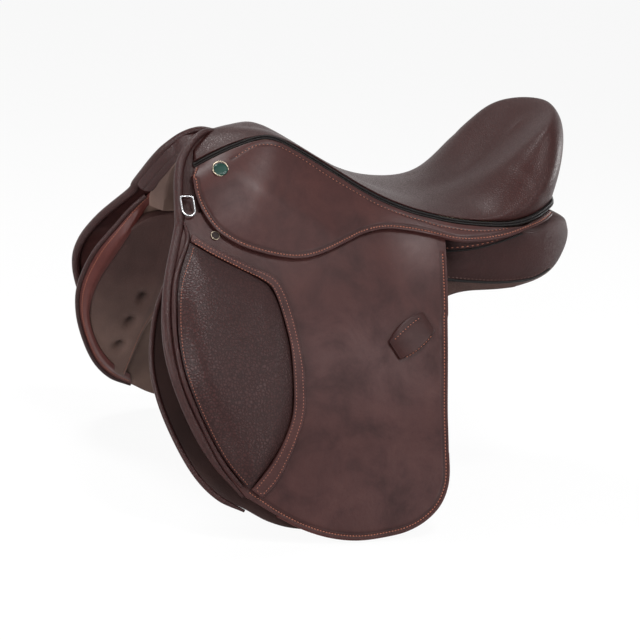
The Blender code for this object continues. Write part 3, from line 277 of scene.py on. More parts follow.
def settled(item):
    """The mesh of an object with its modifiers applied."""
    graph = bpy.context.evaluated_depsgraph_get()
    return bpy.data.meshes.new_from_object(item.evaluated_get(graph))


def settle(item, sharp):
    """Apply an object's modifiers, and keep the edges sharper than an angle."""
    made = settled(item)
    item.modifiers.clear()
    item.data = made
    made.shade_smooth()
    made.set_sharp_from_angle(angle=math.radians(sharp))


def skin(node, finish, levels):
    """A smooth copy of a CAD node's mesh, which stands for that node."""
    source = frame["nodes"][node]
    bm = bmesh.new()
    bm.from_mesh(source.data)
    bmesh.ops.remove_doubles(bm, verts=bm.verts, dist=0.00001)
    bmesh.ops.join_triangles(bm, faces=bm.faces, angle_face_threshold=math.radians(40),
                             angle_shape_threshold=math.radians(70))
    crease = bm.edges.layers.float.new("crease_edge")
    for edge in bm.edges:
        if edge.calc_face_angle(0.0) > math.radians(50):
            edge[crease] = 1.0
    mesh = bpy.data.meshes.new(node + "_skin")
    bm.to_mesh(mesh)
    bm.free()
    item = add_mesh(node + "_skin", mesh, finish)
    step = item.modifiers.new("smooth", "SUBSURF")
    step.levels = step.render_levels = levels
    settle(item, 60)
    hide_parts(node)
    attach(item, source["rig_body"])
    return item


def coordinates(item, kind="co"):
    """Each vertex's place, or its normal, as the rows of an array."""
    values = np.zeros(len(item.data.vertices) * 3, np.float32)
    item.data.vertices.foreach_get(kind, values)
    return values.reshape(-1, 3)


def normals(item):
    return coordinates(item, "normal")


def place_vertices(item, values):
    item.data.vertices.foreach_set("co", values.astype(np.float32).ravel())
    item.data.update()


def nearest(places, line, chunk=4000):
    """Each place's distance to the nearest point of a dense line."""
    line = np.asarray(line, np.float32)
    result = np.empty(len(places), np.float32)
    for start in range(0, len(places), chunk):
        part = places[start:start + chunk, None, :] - line[None, :, :]
        result[start:start + chunk] = np.sqrt((part ** 2).sum(2).min(1))
    return result


def mark(item, name, values):
    """Store one number a vertex, for the material to read."""
    layer = item.data.attributes.new(name, "FLOAT", "POINT")
    layer.data.foreach_set("value", np.asarray(values, np.float32))


def press(item, grooves, side=0):
    """Push (seam, depth, half width) grooves or ridges into a mesh, on one side's outer face; the
    grooves' seam mark is painted shade.
    """
    places, outward = coordinates(item), normals(item)
    shift = np.zeros(len(places), np.float32)
    dark = np.zeros(len(places), np.float32)
    for seam, depth, half in grooves:
        gap = nearest(places, resampled([place for place, _ in seam]))
        amount = np.exp(-(gap / half) ** 2)
        shift -= depth * amount
        if depth > 0:
            dark = np.maximum(dark, amount)
    if side:
        keep = np.clip(outward[:, 0] * side * 4, 0, 1)
        shift *= keep
        dark *= keep
    place_vertices(item, places + outward * shift[:, None])
    # The seam mark paints shade into the pressed grooves and creases.
    mark(item, "seam", dark)


def grid_sheet(name, point, us, vs, thickness, side, finish, rim=0.0011):
    """A leather sheet from point(u, v), with its thickness inwards and a rounded rim."""
    places = [point(u, v) for v in vs for u in us]
    places = [(p.x * side, p.y, p.z) for p in places]
    count = len(us)
    faces = []
    for j in range(len(vs) - 1):
        for i in range(count - 1):
            quad = (j * count + i, j * count + i + 1, (j + 1) * count + i + 1, (j + 1) * count + i)
            faces.append(quad if side > 0 else quad[::-1])
    mesh = bpy.data.meshes.new(name)
    mesh.from_pydata(places, [], faces)
    item = add_mesh(name, mesh, finish)
    solid = item.modifiers.new("thickness", "SOLIDIFY")
    solid.thickness = thickness
    solid.offset = -1.0
    edge = item.modifiers.new("edge", "BEVEL")
    edge.width = rim
    edge.segments = 2
    edge.limit_method = "ANGLE"
    edge.angle_limit = math.radians(60)
    settle(item, 70)
    return item


def cord(name, points, radius, finish, body, sides=12, closed=False, sizes=None):
    """A round cord as a mesh tube; sizes are its radius's shares along the points."""
    curve = bpy.data.curves.new(name, "CURVE")
    curve.dimensions = "3D"
    curve.bevel_depth = radius
    curve.bevel_resolution = (sides - 4) // 2
    curve.use_fill_caps = not closed
    route = curve.splines.new("POLY")
    route.points.add(len(points) - 1)
    for i, (target, place) in enumerate(zip(route.points, points)):
        target.co = (*place, 1.0)
        if sizes is not None:
            target.radius = sizes[i]
    route.use_cyclic_u = closed
    item = bpy.data.objects.new(name, curve)
    bpy.context.scene.collection.objects.link(item)
    mesh = settled(item)
    bpy.data.objects.remove(item)
    made = add_mesh(name, mesh, finish)
    made.data.set_sharp_from_angle(angle=math.radians(60))
    if body:
        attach(made, body)
    return made


STITCH_RINGS = ((-0.5, 0.25), (-0.36, 0.85), (0.0, 1.0), (0.36, 0.85), (0.5, 0.25))
STITCH_SIDES = 6
STITCH_SINK = 0.00012
STITCH_FLATNESS = 1.25         # a stitch's width as a share of its height


def stitches(name, seam, finish, body, pitch=0.0036, length=0.0026, radius=0.00052):
    """A row of thread stitches along a seam."""
    places = np.array([tuple(p) for p, _ in seam], float)
    outward = np.array([tuple(n) for _, n in seam], float)
    lengths = run_lengths(places)
    count = max(int(lengths[-1] / pitch), 1)
    verts, faces = [], []

    def at(value, table):
        return Vector([np.interp(value, lengths, table[:, k]) for k in range(3)])
    for number in range(count):
        middle = (number + 0.5) * lengths[-1] / count
        place, out = at(middle, places), at(middle, outward).normalized()
        run = (at(middle + 0.001, places) - at(middle - 0.001, places)).normalized()
        over = out.cross(run).normalized()
        first = len(verts)
        for along, size in STITCH_RINGS:
            centre = place + run * along * length - out * (STITCH_SINK + radius * 1.2 * (1 - size))
            for k in range(STITCH_SIDES):
                angle = math.tau * k / STITCH_SIDES
                verts.append(centre + (over * math.cos(angle) * STITCH_FLATNESS
                                       + out * math.sin(angle)) * radius * size)
        last = first + (len(STITCH_RINGS) - 1) * STITCH_SIDES
        for ring in range(first, last, STITCH_SIDES):
            for k in range(STITCH_SIDES):
                a, b = ring + k, ring + (k + 1) % STITCH_SIDES
                faces.append((a, b, b + STITCH_SIDES, a + STITCH_SIDES))
        faces.append(tuple(first + k for k in reversed(range(STITCH_SIDES))))
        faces.append(tuple(last + k for k in range(STITCH_SIDES)))
    mesh = bpy.data.meshes.new(name)
    mesh.from_pydata([tuple(v) for v in verts], [], faces)
    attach(add_mesh(name, mesh, finish), body)


class Caster:
    """Finds seams on the faces of an object."""
    def __init__(self, item):
        bm = bmesh.new()
        bm.from_mesh(item.data)
        self.tree = BVHTree.FromBMesh(bm)
        bm.free()

    def seam(self, places, direction, lift=0.0, reach=0.1):
        """The seam where rays against a direction meet the object."""
        direction = Vector(direction).normalized()
        result = []
        for place in places:
            hit, normal, _, _ = self.tree.ray_cast(Vector(place) + direction * reach, -direction)
            if hit is None:
                continue
            if normal.dot(direction) < 0:
                normal = -normal
            result.append((hit + normal * lift, normal))
        return result

    def close(self, places):
        """The seam through the object's points nearest to the given places."""
        return [self.tree.find_nearest(place)[:2] for place in places]


# Materials.

class Net:
    """Adds nodes to a tree. An input takes a number, a colour or another node's output."""
    def __init__(self, tree):
        self.tree = tree

    def link(self, value, socket):
        if isinstance(value, bpy.types.NodeSocket):
            self.tree.links.new(value, socket)
        elif socket.type == "RGBA":
            socket.default_value = (*value, 1.0)
        else:
            socket.default_value = value

    def node(self, kind, inputs, **settings):
        made = self.tree.nodes.new("ShaderNode" + kind)
        for key, value in settings.items():
            setattr(made, key, value)
        for key, value in inputs.items():
            self.link(value, made.inputs[key])
        return made

    def span(self, value, low, high, start=0.0, end=1.0):
        return self.node("MapRange", {"Value": value, "From Min": start, "From Max": end,
                                      "To Min": low, "To Max": high}).outputs["Result"]

    def math(self, operation, a, b):
        return self.node("Math", {0: a, 1: b}, operation=operation).outputs[0]

    def mix(self, share, a, b):
        made = self.node("Mix", {"Factor": share}, data_type="RGBA")
        for value, socket in zip((a, b), [s for s in made.inputs if s.type == "RGBA"]):
            self.link(value, socket)
        return [s for s in made.outputs if s.type == "RGBA"][0]


class Finish(Net):
    """A procedural material, built from a few noise patterns in the object's own space."""
    def __init__(self, name, roughness, metallic=0.0):
        self.material = bpy.data.materials.new(name)
        self.material.use_nodes = True
        super().__init__(self.material.node_tree)
        self.shader = self.tree.nodes["Principled BSDF"]
        self.give(("Roughness", roughness), ("Metallic", metallic))
        self.space = self.node("TexCoord", {}).outputs["Object"]
        self.normal = None

    def give(self, *inputs):
        for key, value in inputs:
            self.link(value, self.shader.inputs[key])

    def noise(self, scale, detail=4.0, rough=0.55, distortion=0.0, space=None):
        return self.node("TexNoise", {"Vector": space or self.space, "Scale": scale,
                                      "Detail": detail, "Roughness": rough,
                                      "Distortion": distortion}).outputs["Fac"]

    def painted_seam_shade(self, tone, share, dark):
        """Painted shade: darker where the mesh's seam mark is 1."""
        seam = self.node("Attribute", {}, attribute_name="seam").outputs["Fac"]
        return self.mix(self.math("MULTIPLY", seam, share), tone, dark)

    def bump(self, value, distance, strength=1.0):
        made = self.node("Bump", {"Strength": strength, "Distance": distance, "Height": value})
        if self.normal is not None:
            self.link(self.normal, made.inputs["Normal"])
        self.normal = made.outputs["Normal"]
        self.give(("Normal", self.normal))

    def pebbles(self, size, depth, warped=1.3):
        """Leather grain: rounded pebbles with fine valleys between them."""
        warp = self.node("TexNoise", {"Vector": self.space, "Scale": 0.6 / size, "Detail": 2.0})
        moved = self.node("MixRGB", {"Fac": size * warped, "Color1": self.space,
                                     "Color2": warp.outputs["Color"]}, blend_type="LINEAR_LIGHT")
        cells = self.node("TexVoronoi", {"Vector": moved.outputs["Color"], "Scale": 1 / size,
                                         "Randomness": 1.0}, feature="DISTANCE_TO_EDGE")
        domes = self.span(cells.outputs["Distance"], 0.0, 1.0, 0.0, 0.32)
        self.bump(domes, depth)
        return domes


SHEEN = 0.11              # leather reflects less of the white room than plain plastic


def shade(colour, share):
    return tuple(c * share for c in colour)


def smooth_leather(name, dark, middle, light):
    """Oiled leather with cloudy colour, fine pores and painted shade in its pressed grooves."""
    made = Finish(name, 0.42)
    cloud = made.noise(17.0, 6.0, 0.66, 0.6)
    fine = made.noise(60.0, 5.0, 0.6)
    cloudy = made.math("ADD", made.math("MULTIPLY", cloud, 0.78), made.math("MULTIPLY", fine, 0.22))
    ramp = made.node("ValToRGB", {"Fac": cloudy})
    ramp.color_ramp.elements.new(0.5)
    stops = zip(ramp.color_ramp.elements, (0.34, 0.5, 0.68), (dark, middle, light))
    for stop, place, tone in stops:
        stop.position = place
        stop.color = (*tone, 1.0)
    tone = made.painted_seam_shade(ramp.outputs["Color"], 0.65, shade(dark, 0.45))
    speck = made.noise(520.0, 3.0, 0.6)
    made.give(("Base Color", made.mix(made.span(speck, 0.0, 0.35, 0.52, 0.75), tone, dark)),
              ("Roughness", made.span(cloudy, 0.44, 0.32, 0.35, 0.65)),
              ("Specular IOR Level", SHEEN))
    made.bump(made.noise(1500.0, 4.0, 0.65), 0.00012, 0.55)
    made.bump(made.noise(170.0, 3.0, 0.5), 0.00035, 0.35)
    return made.material


def grained_leather(name, dark, light, size, depth, rough):
    """Leather whose pebble grain shows, with painted shade in its valleys."""
    made = Finish(name, rough)
    domes = made.pebbles(size, depth)
    cloud = made.noise(14.0, 4.0, 0.6)
    tone = made.mix(made.span(cloud, 0.0, 1.0, 0.35, 0.65), dark, light)
    # Painted shade in the grain's valleys.
    tone = made.mix(made.span(domes, 0.55, 0.0, 0.0, 0.5), tone, shade(dark, 0.5))
    made.give(("Base Color", made.painted_seam_shade(tone, 0.6, shade(dark, 0.4))),
              ("Roughness", made.span(domes, rough + 0.15, rough - 0.04)),
              ("Specular IOR Level", SHEEN))
    made.bump(made.noise(900.0, 3.0, 0.6), 0.00008, 0.5)
    return made.material


def pebbled_leather(name, valley, dome, size, depth, rough, sheen):
    """Embossed leather with painted shade in its pebbles' valleys, so the pebble tops look paler.
    """
    made = Finish(name, rough)
    domes = made.pebbles(size, depth, 0.4)
    cloud = made.span(made.noise(16.0, 4.0, 0.6), 0.78, 1.0, 0.35, 0.65)
    # Painted shade: the valleys darker, the pebble tops paler.
    tone = made.mix(made.span(domes, 0.0, 1.0, 0.1, 0.85), valley, dome)
    tone = made.mix(made.math("SUBTRACT", 1.0, cloud), tone, shade(dome, 0.5))
    made.give(("Base Color", made.painted_seam_shade(tone, 0.6, shade(dome, 0.3))),
              ("Roughness", made.span(domes, rough + 0.14, rough - 0.04)),
              ("Specular IOR Level", sheen))
    return made.material


def two_sided_leather(name, dark, light, other_dark, other_light, size, depth):
    """Grained leather that turns to another colour where the mesh's lining mark is 1."""
    made = Finish(name, 0.46)
    domes = made.pebbles(size, depth)
    cloud = made.span(made.noise(12.0, 4.0, 0.6), 0.0, 1.0, 0.35, 0.65)
    lining = made.node("Attribute", {}, attribute_name="lining").outputs["Fac"]
    tone = made.mix(lining, made.mix(cloud, dark, light), made.mix(cloud, other_dark, other_light))
    # The seam mark paints near-black shade, in the panel's dimple pits.
    made.give(("Base Color", made.painted_seam_shade(tone, 0.85, (0.004, 0.0025, 0.0022))),
              ("Roughness", made.span(domes, 0.58, 0.42)), ("Specular IOR Level", SHEEN))
    return made.material


def suede(name, dark, light):
    made = Finish(name, 0.85)
    nap = made.noise(420.0, 6.0, 0.7, 0.4)
    cloud = made.noise(18.0, 4.0, 0.6)
    share = made.math("ADD", made.math("MULTIPLY", nap, 0.6), made.math("MULTIPLY", cloud, 0.4))
    made.give(("Base Color", made.mix(share, dark, light)), ("Sheen Weight", 0.25))
    made.bump(nap, 0.00025, 0.7)
    return made.material


def metal(name, colour, rough, scratch=0.15):
    made = Finish(name, rough, 1.0)
    stretched = made.node("Mapping", {"Vector": made.space, "Scale": (1.0, 0.2, 1.0)})
    wear = made.noise(160.0, 5.0, 0.6, space=stretched.outputs["Vector"])
    tone = made.mix(made.span(wear, 0.0, 0.5, 0.4, 0.8), colour, shade(colour, 0.8))
    made.give(("Base Color", tone),
              ("Roughness", made.span(wear, rough, rough + scratch, 0.3, 0.8)))
    made.bump(made.noise(700.0, 3.0, 0.5), 0.00003, 0.4)
    return made.material


def thread(name, colour):
    made = Finish(name, 0.6)
    twist = made.noise(1500.0, 2.0, 0.5)
    made.give(("Base Color", made.mix(twist, shade(colour, 0.55), shade(colour, 1.3))))
    made.bump(twist, 0.0001, 0.6)
    return made.material


def woven(name, dark, light, pitch=0.0011):
    made = Finish(name, 0.85)
    first, second = (made.node("TexWave", {"Vector": made.space, "Scale": 0.33 / pitch},
                               bands_direction=way).outputs["Fac"] for way in "YZ")
    weave = made.math("MULTIPLY", first, second)
    made.give(("Base Color", made.mix(weave, dark, light)))
    made.bump(weave, 0.0004, 0.8)
    return made.material


def enamel(name, dark, light):
    made = Finish(name, 0.24)
    cloud = made.noise(220.0, 4.0, 0.6, 1.2)
    made.give(("Base Color", made.mix(cloud, dark, light)), ("Specular IOR Level", 0.25),
              ("Coat Weight", 0.06), ("Coat Roughness", 0.1))
    made.bump(made.noise(500.0, 2.0, 0.5), 0.00003, 0.3)
    return made.material


BROWN = smooth_leather("brown_leather", (0.019, 0.0067, 0.0063), (0.032, 0.0118, 0.0109),
                       (0.045, 0.0172, 0.0154))
KEEPER_BROWN = smooth_leather("keeper_leather", (0.013, 0.0046, 0.0043),
                              (0.023, 0.0084, 0.0078), (0.033, 0.0125, 0.0113))
BINDING = smooth_leather("binding_leather", (0.034, 0.008, 0.0066), (0.05, 0.0125, 0.0105),
                         (0.064, 0.018, 0.015))
STRAP = smooth_leather("strap_leather", (0.05, 0.022, 0.015), (0.085, 0.039, 0.027),
                       (0.12, 0.06, 0.042))
DARK = pebbled_leather("dark_grained", (0.016, 0.0056, 0.0053), (0.037, 0.0135, 0.0127), 0.0024,
                       0.00018, 0.29, 0.15)
SEAT_LEATHER = pebbled_leather("seat_leather", (0.018, 0.0058, 0.0053), (0.03, 0.01, 0.009),
                               0.0026, 0.00012, 0.34, 0.11)
PAD_LEATHER = pebbled_leather("pad_leather", (0.0135, 0.0047, 0.0045), (0.031, 0.0113, 0.0107),
                              0.0036, 0.00026, 0.36, 0.14)
PIPING = grained_leather("piping", (0.005, 0.0042, 0.0042), (0.01, 0.008, 0.0078), 0.0008,
                         0.00008, 0.34)
BLACK = grained_leather("black_leather", (0.009, 0.006, 0.0055), (0.017, 0.0105, 0.0095), 0.0012,
                        0.0001, 0.45)
PANEL = two_sided_leather("panel_leather", (0.017, 0.0066, 0.0062), (0.028, 0.0106, 0.01),
                          (0.1, 0.062, 0.05), (0.16, 0.102, 0.083), 0.0015, 0.00022)
SWEAT = two_sided_leather("sweat_leather", (0.016, 0.0085, 0.0078), (0.028, 0.014, 0.0125),
                          (0.066, 0.04, 0.0325), (0.105, 0.066, 0.053), 0.0014, 0.0001)
THREAD = thread("orange_thread", (0.2, 0.056, 0.028))
PALE_THREAD = thread("pale_thread", (0.3, 0.19, 0.14))
DARK_THREAD = thread("brown_thread", (0.06, 0.024, 0.017))
CHROME = metal("polished_steel", (0.36, 0.36, 0.37), 0.18)
RIM = metal("dark_brass", (0.24, 0.2, 0.15), 0.24)
STEEL = metal("forged_steel_look", (0.33, 0.33, 0.34), 0.38, 0.2)
WEB = woven("white_web", (0.3, 0.27, 0.21), (0.55, 0.51, 0.42))
FOAM = suede("latex", (0.5, 0.43, 0.28), (0.66, 0.6, 0.42))
WOOD = suede("laminate", (0.17, 0.105, 0.055), (0.29, 0.19, 0.105))
ENAMEL = enamel("green_enamel_look", (0.001, 0.014, 0.01), (0.004, 0.036, 0.026))


# Lines that the part's source gives, in millimetres: (y, z), or (x, y, z).

WELT_LINE = mm(
    (34, -205, 36), (34.5, -184.8, 47.4), (33.5, -161.5, 58.2), (33.5, -131, 68.6),
    (37, -111, 68.2), (42.5, -86.3, 57.3), (53, -45.7, 36), (63, -17, 20.4), (73, 11.9, 7.4),
    (84, 40, -1.2), (93.5, 63.3, -5.5), (105, 91.7, -8.7), (118.5, 134.3, -8.5),
    (121.5, 163.3, -5), (117, 187, 2), (101, 211, 10.5), (77, 225.5, 11.5), (40, 241, 8),
    (0, 247, 6))
SKIRT_GAP = 0.001
SKIRT_LOWER = mm(
    (-211, 21), (-211.5, 2), (-205.7, -14), (-194, -29), (-171, -42), (-142, -50), (-113, -54),
    (-90, -53), (-66, -47), (-38, -37), (-19, -30.5), (8, -26), (35, -26.5), (60, -28.5),
    (90, -31), (120, -28.5), (150, -22.5), (176, -15), (194, -10), (205, -6), (213, -3),
    (218, -1))
BAND_START = 0.08              # where the skirt's band has a width of its own
BAND_WIDTH = profile(*mm((60, 116), (90, 127.5), (120, 132.5), (150, 133), (180, 126.5), (200, 119),
                         (210, 113), (222, 102)))
SKIRT_FOLD = mm((-212, 13), (6, -26.2))
FLAP_FOLD = mm((-229, -29.6), (68.5, -104))
FLAP_TOP = mm(
    (-226.2, -8.5), (-190, -14), (-150, -26), (-120, -33), (-70, -34.5), (-25, -30.5),
    (20, -22.5), (50, -24.5), (76, -28))
FLAP_FRONT = mm((-247, -74), (-253, -117), (-250, -160), (-235, -204), (-211, -250), (-180, -288))
FLAP_BOTTOM = mm(
    (-180, -288), (-144, -311), (-111, -327), (-78, -337), (-44, -340.5), (-5, -336.5),
    (16, -331), (34, -321.5), (48.5, -308), (57, -292), (60.5, -274))
FLAP_REAR = mm((68.5, -104), (66.5, -117), (60.5, -194), (60, -240), (60.5, -274))
REAR_TOP = (0.0725, -0.065)    # on the flap's rear edge, above its fold
KNEE_TOP = mm((-227, -40), (-202, -53), (-175, -64.5), (-152, -74), (-141, -81))
KNEE_REAR = mm(
    (-141, -81), (-135.5, -93), (-126.5, -132), (-125, -163), (-127, -201), (-136, -226),
    (-153, -254), (-177, -281))
KNEE_FRONT = mm(
    (-227, -40), (-244, -78), (-249.5, -117), (-246.5, -159), (-232, -202), (-208, -248),
    (-183, -277.5))
FACING_OUTER = mm(
    (-224, -32), (-199, -46), (-160, -62), (-134, -73), (-121, -99), (-112, -149), (-111, -171),
    (-115, -212), (-142, -268), (-164, -291))
ROLL_ROUTE = mm(
    (-236.4, -26.6), (-253, -74), (-260, -118), (-257.5, -156), (-241.8, -205), (-215.5, -252),
    (-183.2, -289.2))
SWEAT_OUTLINE = mm(
    (-215, -23), (-233, -46), (-248, -74), (-264, -105), (-272, -134), (-274.5, -164),
    (-270, -192), (-260, -221), (-243, -255), (-226, -279), (-205, -297), (-178, -310))
SWEAT_BOTTOM = mm(
    (-178, -310), (-149, -321), (-116, -329), (-60, -332), (-5, -329), (30, -314), (48, -295),
    (55, -270))
SWEAT_REAR = mm((76, -50), (66, -110), (58, -190), (55, -270))
SWEAT_TOP = mm((-205, -43), (-150, -53), (-80, -54), (0, -54), (76, -50))
# The roll's upper part, from the middle of the pommel down to the flap's fold.
ROLL_TOP = mm(
    (0, -174, 65), (8, -188, 64.5), (18, -204, 55), (30, -218, 38), (46, -225.5, 20.5),
    (68, -230.5, -1), (85, -233.8, -17.5))
FLAP_ROLL = 0.0054
SWEAT_ROLL = 0.0044
WELT = 0.003
SEAM_BREAK = 0.012             # a seam's points further apart than this are two seams


def fold_between(item, fold):
    """Bake a sheet's transform into its mesh. The fold line's points are worked out, but nothing
    bends the sheet there.
    """
    (y0, z0), (y1, z1) = fold
    middle = on_surface(flap_surface, (y0 + y1) / 2, (z0 + z1) / 2)
    run = on_surface(flap_surface, y1, z1) - on_surface(flap_surface, y0, z0)
    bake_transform(item)


def split_stitches(name, seam, fold, body):
    """Stitches on both sides of a fold: each part rides on its own body."""
    (y0, z0), (y1, z1) = fold
    groups = {body: [], "saddle": []}
    for pair in seam:
        place = pair[0]
        low = place.z < z0 + (z1 - z0) * (place.y - y0) / (y1 - y0)
        groups[body if low else "saddle"].append(pair)
    for owner, part in groups.items():
        runs = []
        for pair in part:
            if runs and (pair[0] - runs[-1][-1][0]).length < SEAM_BREAK:
                runs[-1].append(pair)
            else:
                runs.append([pair])
        for i, run in enumerate(r for r in runs if len(r) > 4):
            stitches("%s_%s_%d" % (name, owner, i), run, THREAD, owner)


def sunk(seam, depth):
    return [(place - out * depth, out) for place, out in seam]


def places_of(seam):
    return [place for place, _ in seam]


# The flap: one sheet from under the skirt to its beaded edge.

def flap(tag, side):
    front = [FLAP_TOP[0], (-0.2285, -0.018), (-0.2325, -0.029)]
    front += shifted(forward(FLAP_FRONT), -0.0022)
    rear = [FLAP_TOP[-1], REAR_TOP] + FLAP_REAR
    shape = patch(FLAP_TOP, [front[-1]] + FLAP_BOTTOM[1:], front, rear)

    def point(u, v):
        place = shape(u, v)
        return on_surface(flap_surface, place.x, place.y)
    body = "flap_" + tag
    item = grid_sheet("flap_leather_" + tag, point, shares(0.3, 0.0024), shares(0.33, 0.0024),
                      FLAP_LEATHER, side, BROWN)
    edge = FLAP_BOTTOM + FLAP_REAR[-2::-1] + [REAR_TOP, (0.0745, -0.045)]
    seam = flap_seam(inset(edge, 0.004, 200), side, 240)
    crease = flap_seam(inset(edge, 0.0068, 200), side, 240)
    press(item, [(seam, 0.0006, 0.0011), (crease, 0.00035, 0.001)], side)
    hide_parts(body, "flap_top_" + tag)
    fold_between(item, FLAP_FOLD)
    split_stitches("flap_stitches_" + tag, sunk(seam, 0.0003), FLAP_FOLD, body)
    rim = inset(FLAP_BOTTOM[1:] + [(0.06, -0.25)], 0.0006, 160)
    bead = flap_seam(rim, side, 160, -FLAP_LEATHER * 0.62)
    cord("flap_bead_" + tag, places_of(bead), 0.0021, BINDING, body)


# The skirt: one sheet under the welt.

def skirt_lower_edge():
    edge = []
    for y, z in SKIRT_LOWER:
        place = on_surface(flap_surface, y, z, SKIRT_GAP + LEATHER)
        if y > BAND_START:
            place.x = BAND_WIDTH(y)
        edge.append(place)
    return edge


def skirt_upper_edge():
    edge = []
    for x, y, z in WELT_LINE[:-3]:
        drop = 1.2 * WELT + 0.0016 + 0.0022 * smoothstep(y, 0.12, 0.17)
        edge.append(Vector((x + 0.0045, y, z - drop)))
    return edge


SKIRT_LOWER_AT = line_function(skirt_lower_edge())
SKIRT_UPPER_AT = line_function(skirt_upper_edge())
SKIRT_OUT = Vector((0.8, 0.0, 0.6))
EDGE_POINTS = 260


def skirt_surface(u, v):
    low = SKIRT_LOWER_AT(u)
    high = SKIRT_UPPER_AT(u)
    middle = low.lerp(high, v)
    depth = (high - low).length
    bulge = 0.035 * depth * math.sin(math.pi * v) * (1 if middle.y < 0.06 else 0.6)
    return middle + SKIRT_OUT * bulge


def skirt_edge_line(distance, first=0.0):
    """Points at a distance inside the skirt's lower edge."""
    result = []
    for i in range(EDGE_POINTS):
        u = first + (1.0 - first) * i / (EDGE_POINTS - 1)
        here = SKIRT_LOWER_AT(u)
        run = (SKIRT_LOWER_AT(min(u + 0.004, 1)) - SKIRT_LOWER_AT(max(u - 0.004, 0))).normalized()
        inward = skirt_surface(u, 0.5) - here
        inward = (inward - run * inward.dot(run)).normalized()
        result.append(here + inward * distance)
    return result


SKIRT_SEAM = mm(
    (45, -166, 40), (47, -153, 52), (49, -139, 62), (51, -126, 66), (54, -108, 64), (59, -81, 50),
    (67, -51, 32), (75, -21, 16), (83, 0, 6), (91, 22, -2), (106, 58, -10), (113, 73, -13),
    (126, 108, -15), (134, 143, -9), (132, 180, 2))
SKIRT_RIDGE = mm((-172, 24), (-140, 4), (-100, -14), (-70, -26))


def skirt(tag, side):
    item = grid_sheet("skirt_leather_" + tag, skirt_surface, shares(0.46, 0.0024),
                      shares(0.07, 0.0018, 0.0008, 0.007), LEATHER, side, BROWN)
    caster = Caster(item)
    out, = sided([SKIRT_OUT], side)
    fore = [skirt_surface(0.0075, v) for v in np.linspace(0.9, 0.1, 24)]
    low = caster.close(sided(fore + skirt_edge_line(0.0032, 0.006), side))
    crease = caster.close(sided(skirt_edge_line(0.0062), side))
    high = caster.seam(sided(spline(SKIRT_SEAM, 220), side), out)
    line = spline([(flap_surface(y, z), y, z) for y, z in SKIRT_RIDGE], 40)
    ridge = caster.seam(sided(line, side), out)
    press(item, [(low, 0.00055, 0.0011), (crease, 0.00035, 0.001), (high, 0.00045, 0.0012),
                 (ridge, -0.001, 0.014)], side)
    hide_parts("skirt_" + tag, "skirt_band_" + tag)
    fold_between(item, SKIRT_FOLD)
    split_stitches("skirt_stitches_" + tag, sunk(low, 0.0003), SKIRT_FOLD, "skirt_" + tag)
    stitches("skirt_seam_" + tag, sunk(high, 0.00035), THREAD, "saddle", 0.0045, radius=0.00042)


# The knee pad with its sewn facing strip, and the corded front of the flap.

def relax(item, weights, rounds):
    """Smooth the mesh where the weights are above 0, as a sculptor's smooth brush does."""
    count = len(item.data.edges)
    edges = np.empty(count * 2, np.int64)
    item.data.edges.foreach_get("vertices", edges)
    first, second = edges[0::2], edges[1::2]
    places = coordinates(item).astype(np.float64)
    degree = np.bincount(edges, minlength=len(places)).astype(float)
    for _ in range(rounds):
        total = np.empty_like(places)
        for axis in range(3):
            total[:, axis] = (np.bincount(first, places[second, axis], len(places))
                              + np.bincount(second, places[first, axis], len(places)))
        places += (total / degree[:, None] - places) * weights[:, None]
    place_vertices(item, places.astype(np.float32))


PAD_SWELL = 0.005
PAD_ROUND = 0.014              # how far in from its outline the pad rounds up
PAD_WAVE = 0.00035
BEAD_POINTS = 120


def knee_pad(tag, side):
    item = skin("knee_pad_" + tag, PAD_LEATHER, 4)
    places, outward = coordinates(item), normals(item)
    edge = outline(KNEE_TOP, 60) + outline(KNEE_REAR, 160) + outline(KNEE_FRONT, 160)
    tree = KDTree(len(edge))
    for i, place in enumerate(edge):
        tree.insert(place, i)
    tree.balance()
    gap = np.array([tree.find((y, z, 0.0))[2] for y, z in places[:, 1:3]])
    face = np.clip(outward[:, 0] * side * 3, 0, 1)
    swell = PAD_SWELL * (1 - np.exp(-(gap / PAD_ROUND) ** 2)) * face
    wave = np.sin(places[:, 2] * 95 + np.sin(places[:, 1] * 60) * 1.4) * PAD_WAVE * face
    place_vertices(item, places + outward * wave[:, None]
                   + np.array([side, -0.25, 0.1]) * swell[:, None])
    # Painted shade along the pad's outline, where it rounds down onto the flap.
    mark(item, "seam", np.exp(-(gap / 0.003) ** 2) * 0.9)
    body = "flap_" + tag
    caster = Caster(item)
    front = flap_seam(shifted(forward(KNEE_FRONT), 0.003), side, 130)
    line = caster.seam(places_of(front), (side, 0, 0), -0.0001)
    stitches("pad_stitches_" + tag, line, THREAD, body, radius=0.00045)
    path = [(-0.2296, -0.02)] + shifted(forward(KNEE_FRONT), -0.003)
    bead = flap_seam(path, side, BEAD_POINTS, 0.001)
    sizes = [min(1.0, 0.45 + 0.1 * min(i, BEAD_POINTS - 1 - i)) for i in range(BEAD_POINTS)]
    cord("pad_bead_" + tag, places_of(bead), 0.0027, DARK, body, sizes=sizes)


FACING_THICK = 0.0022
FACING_LIFT = 0.0008
FACING_GAP = 0.001


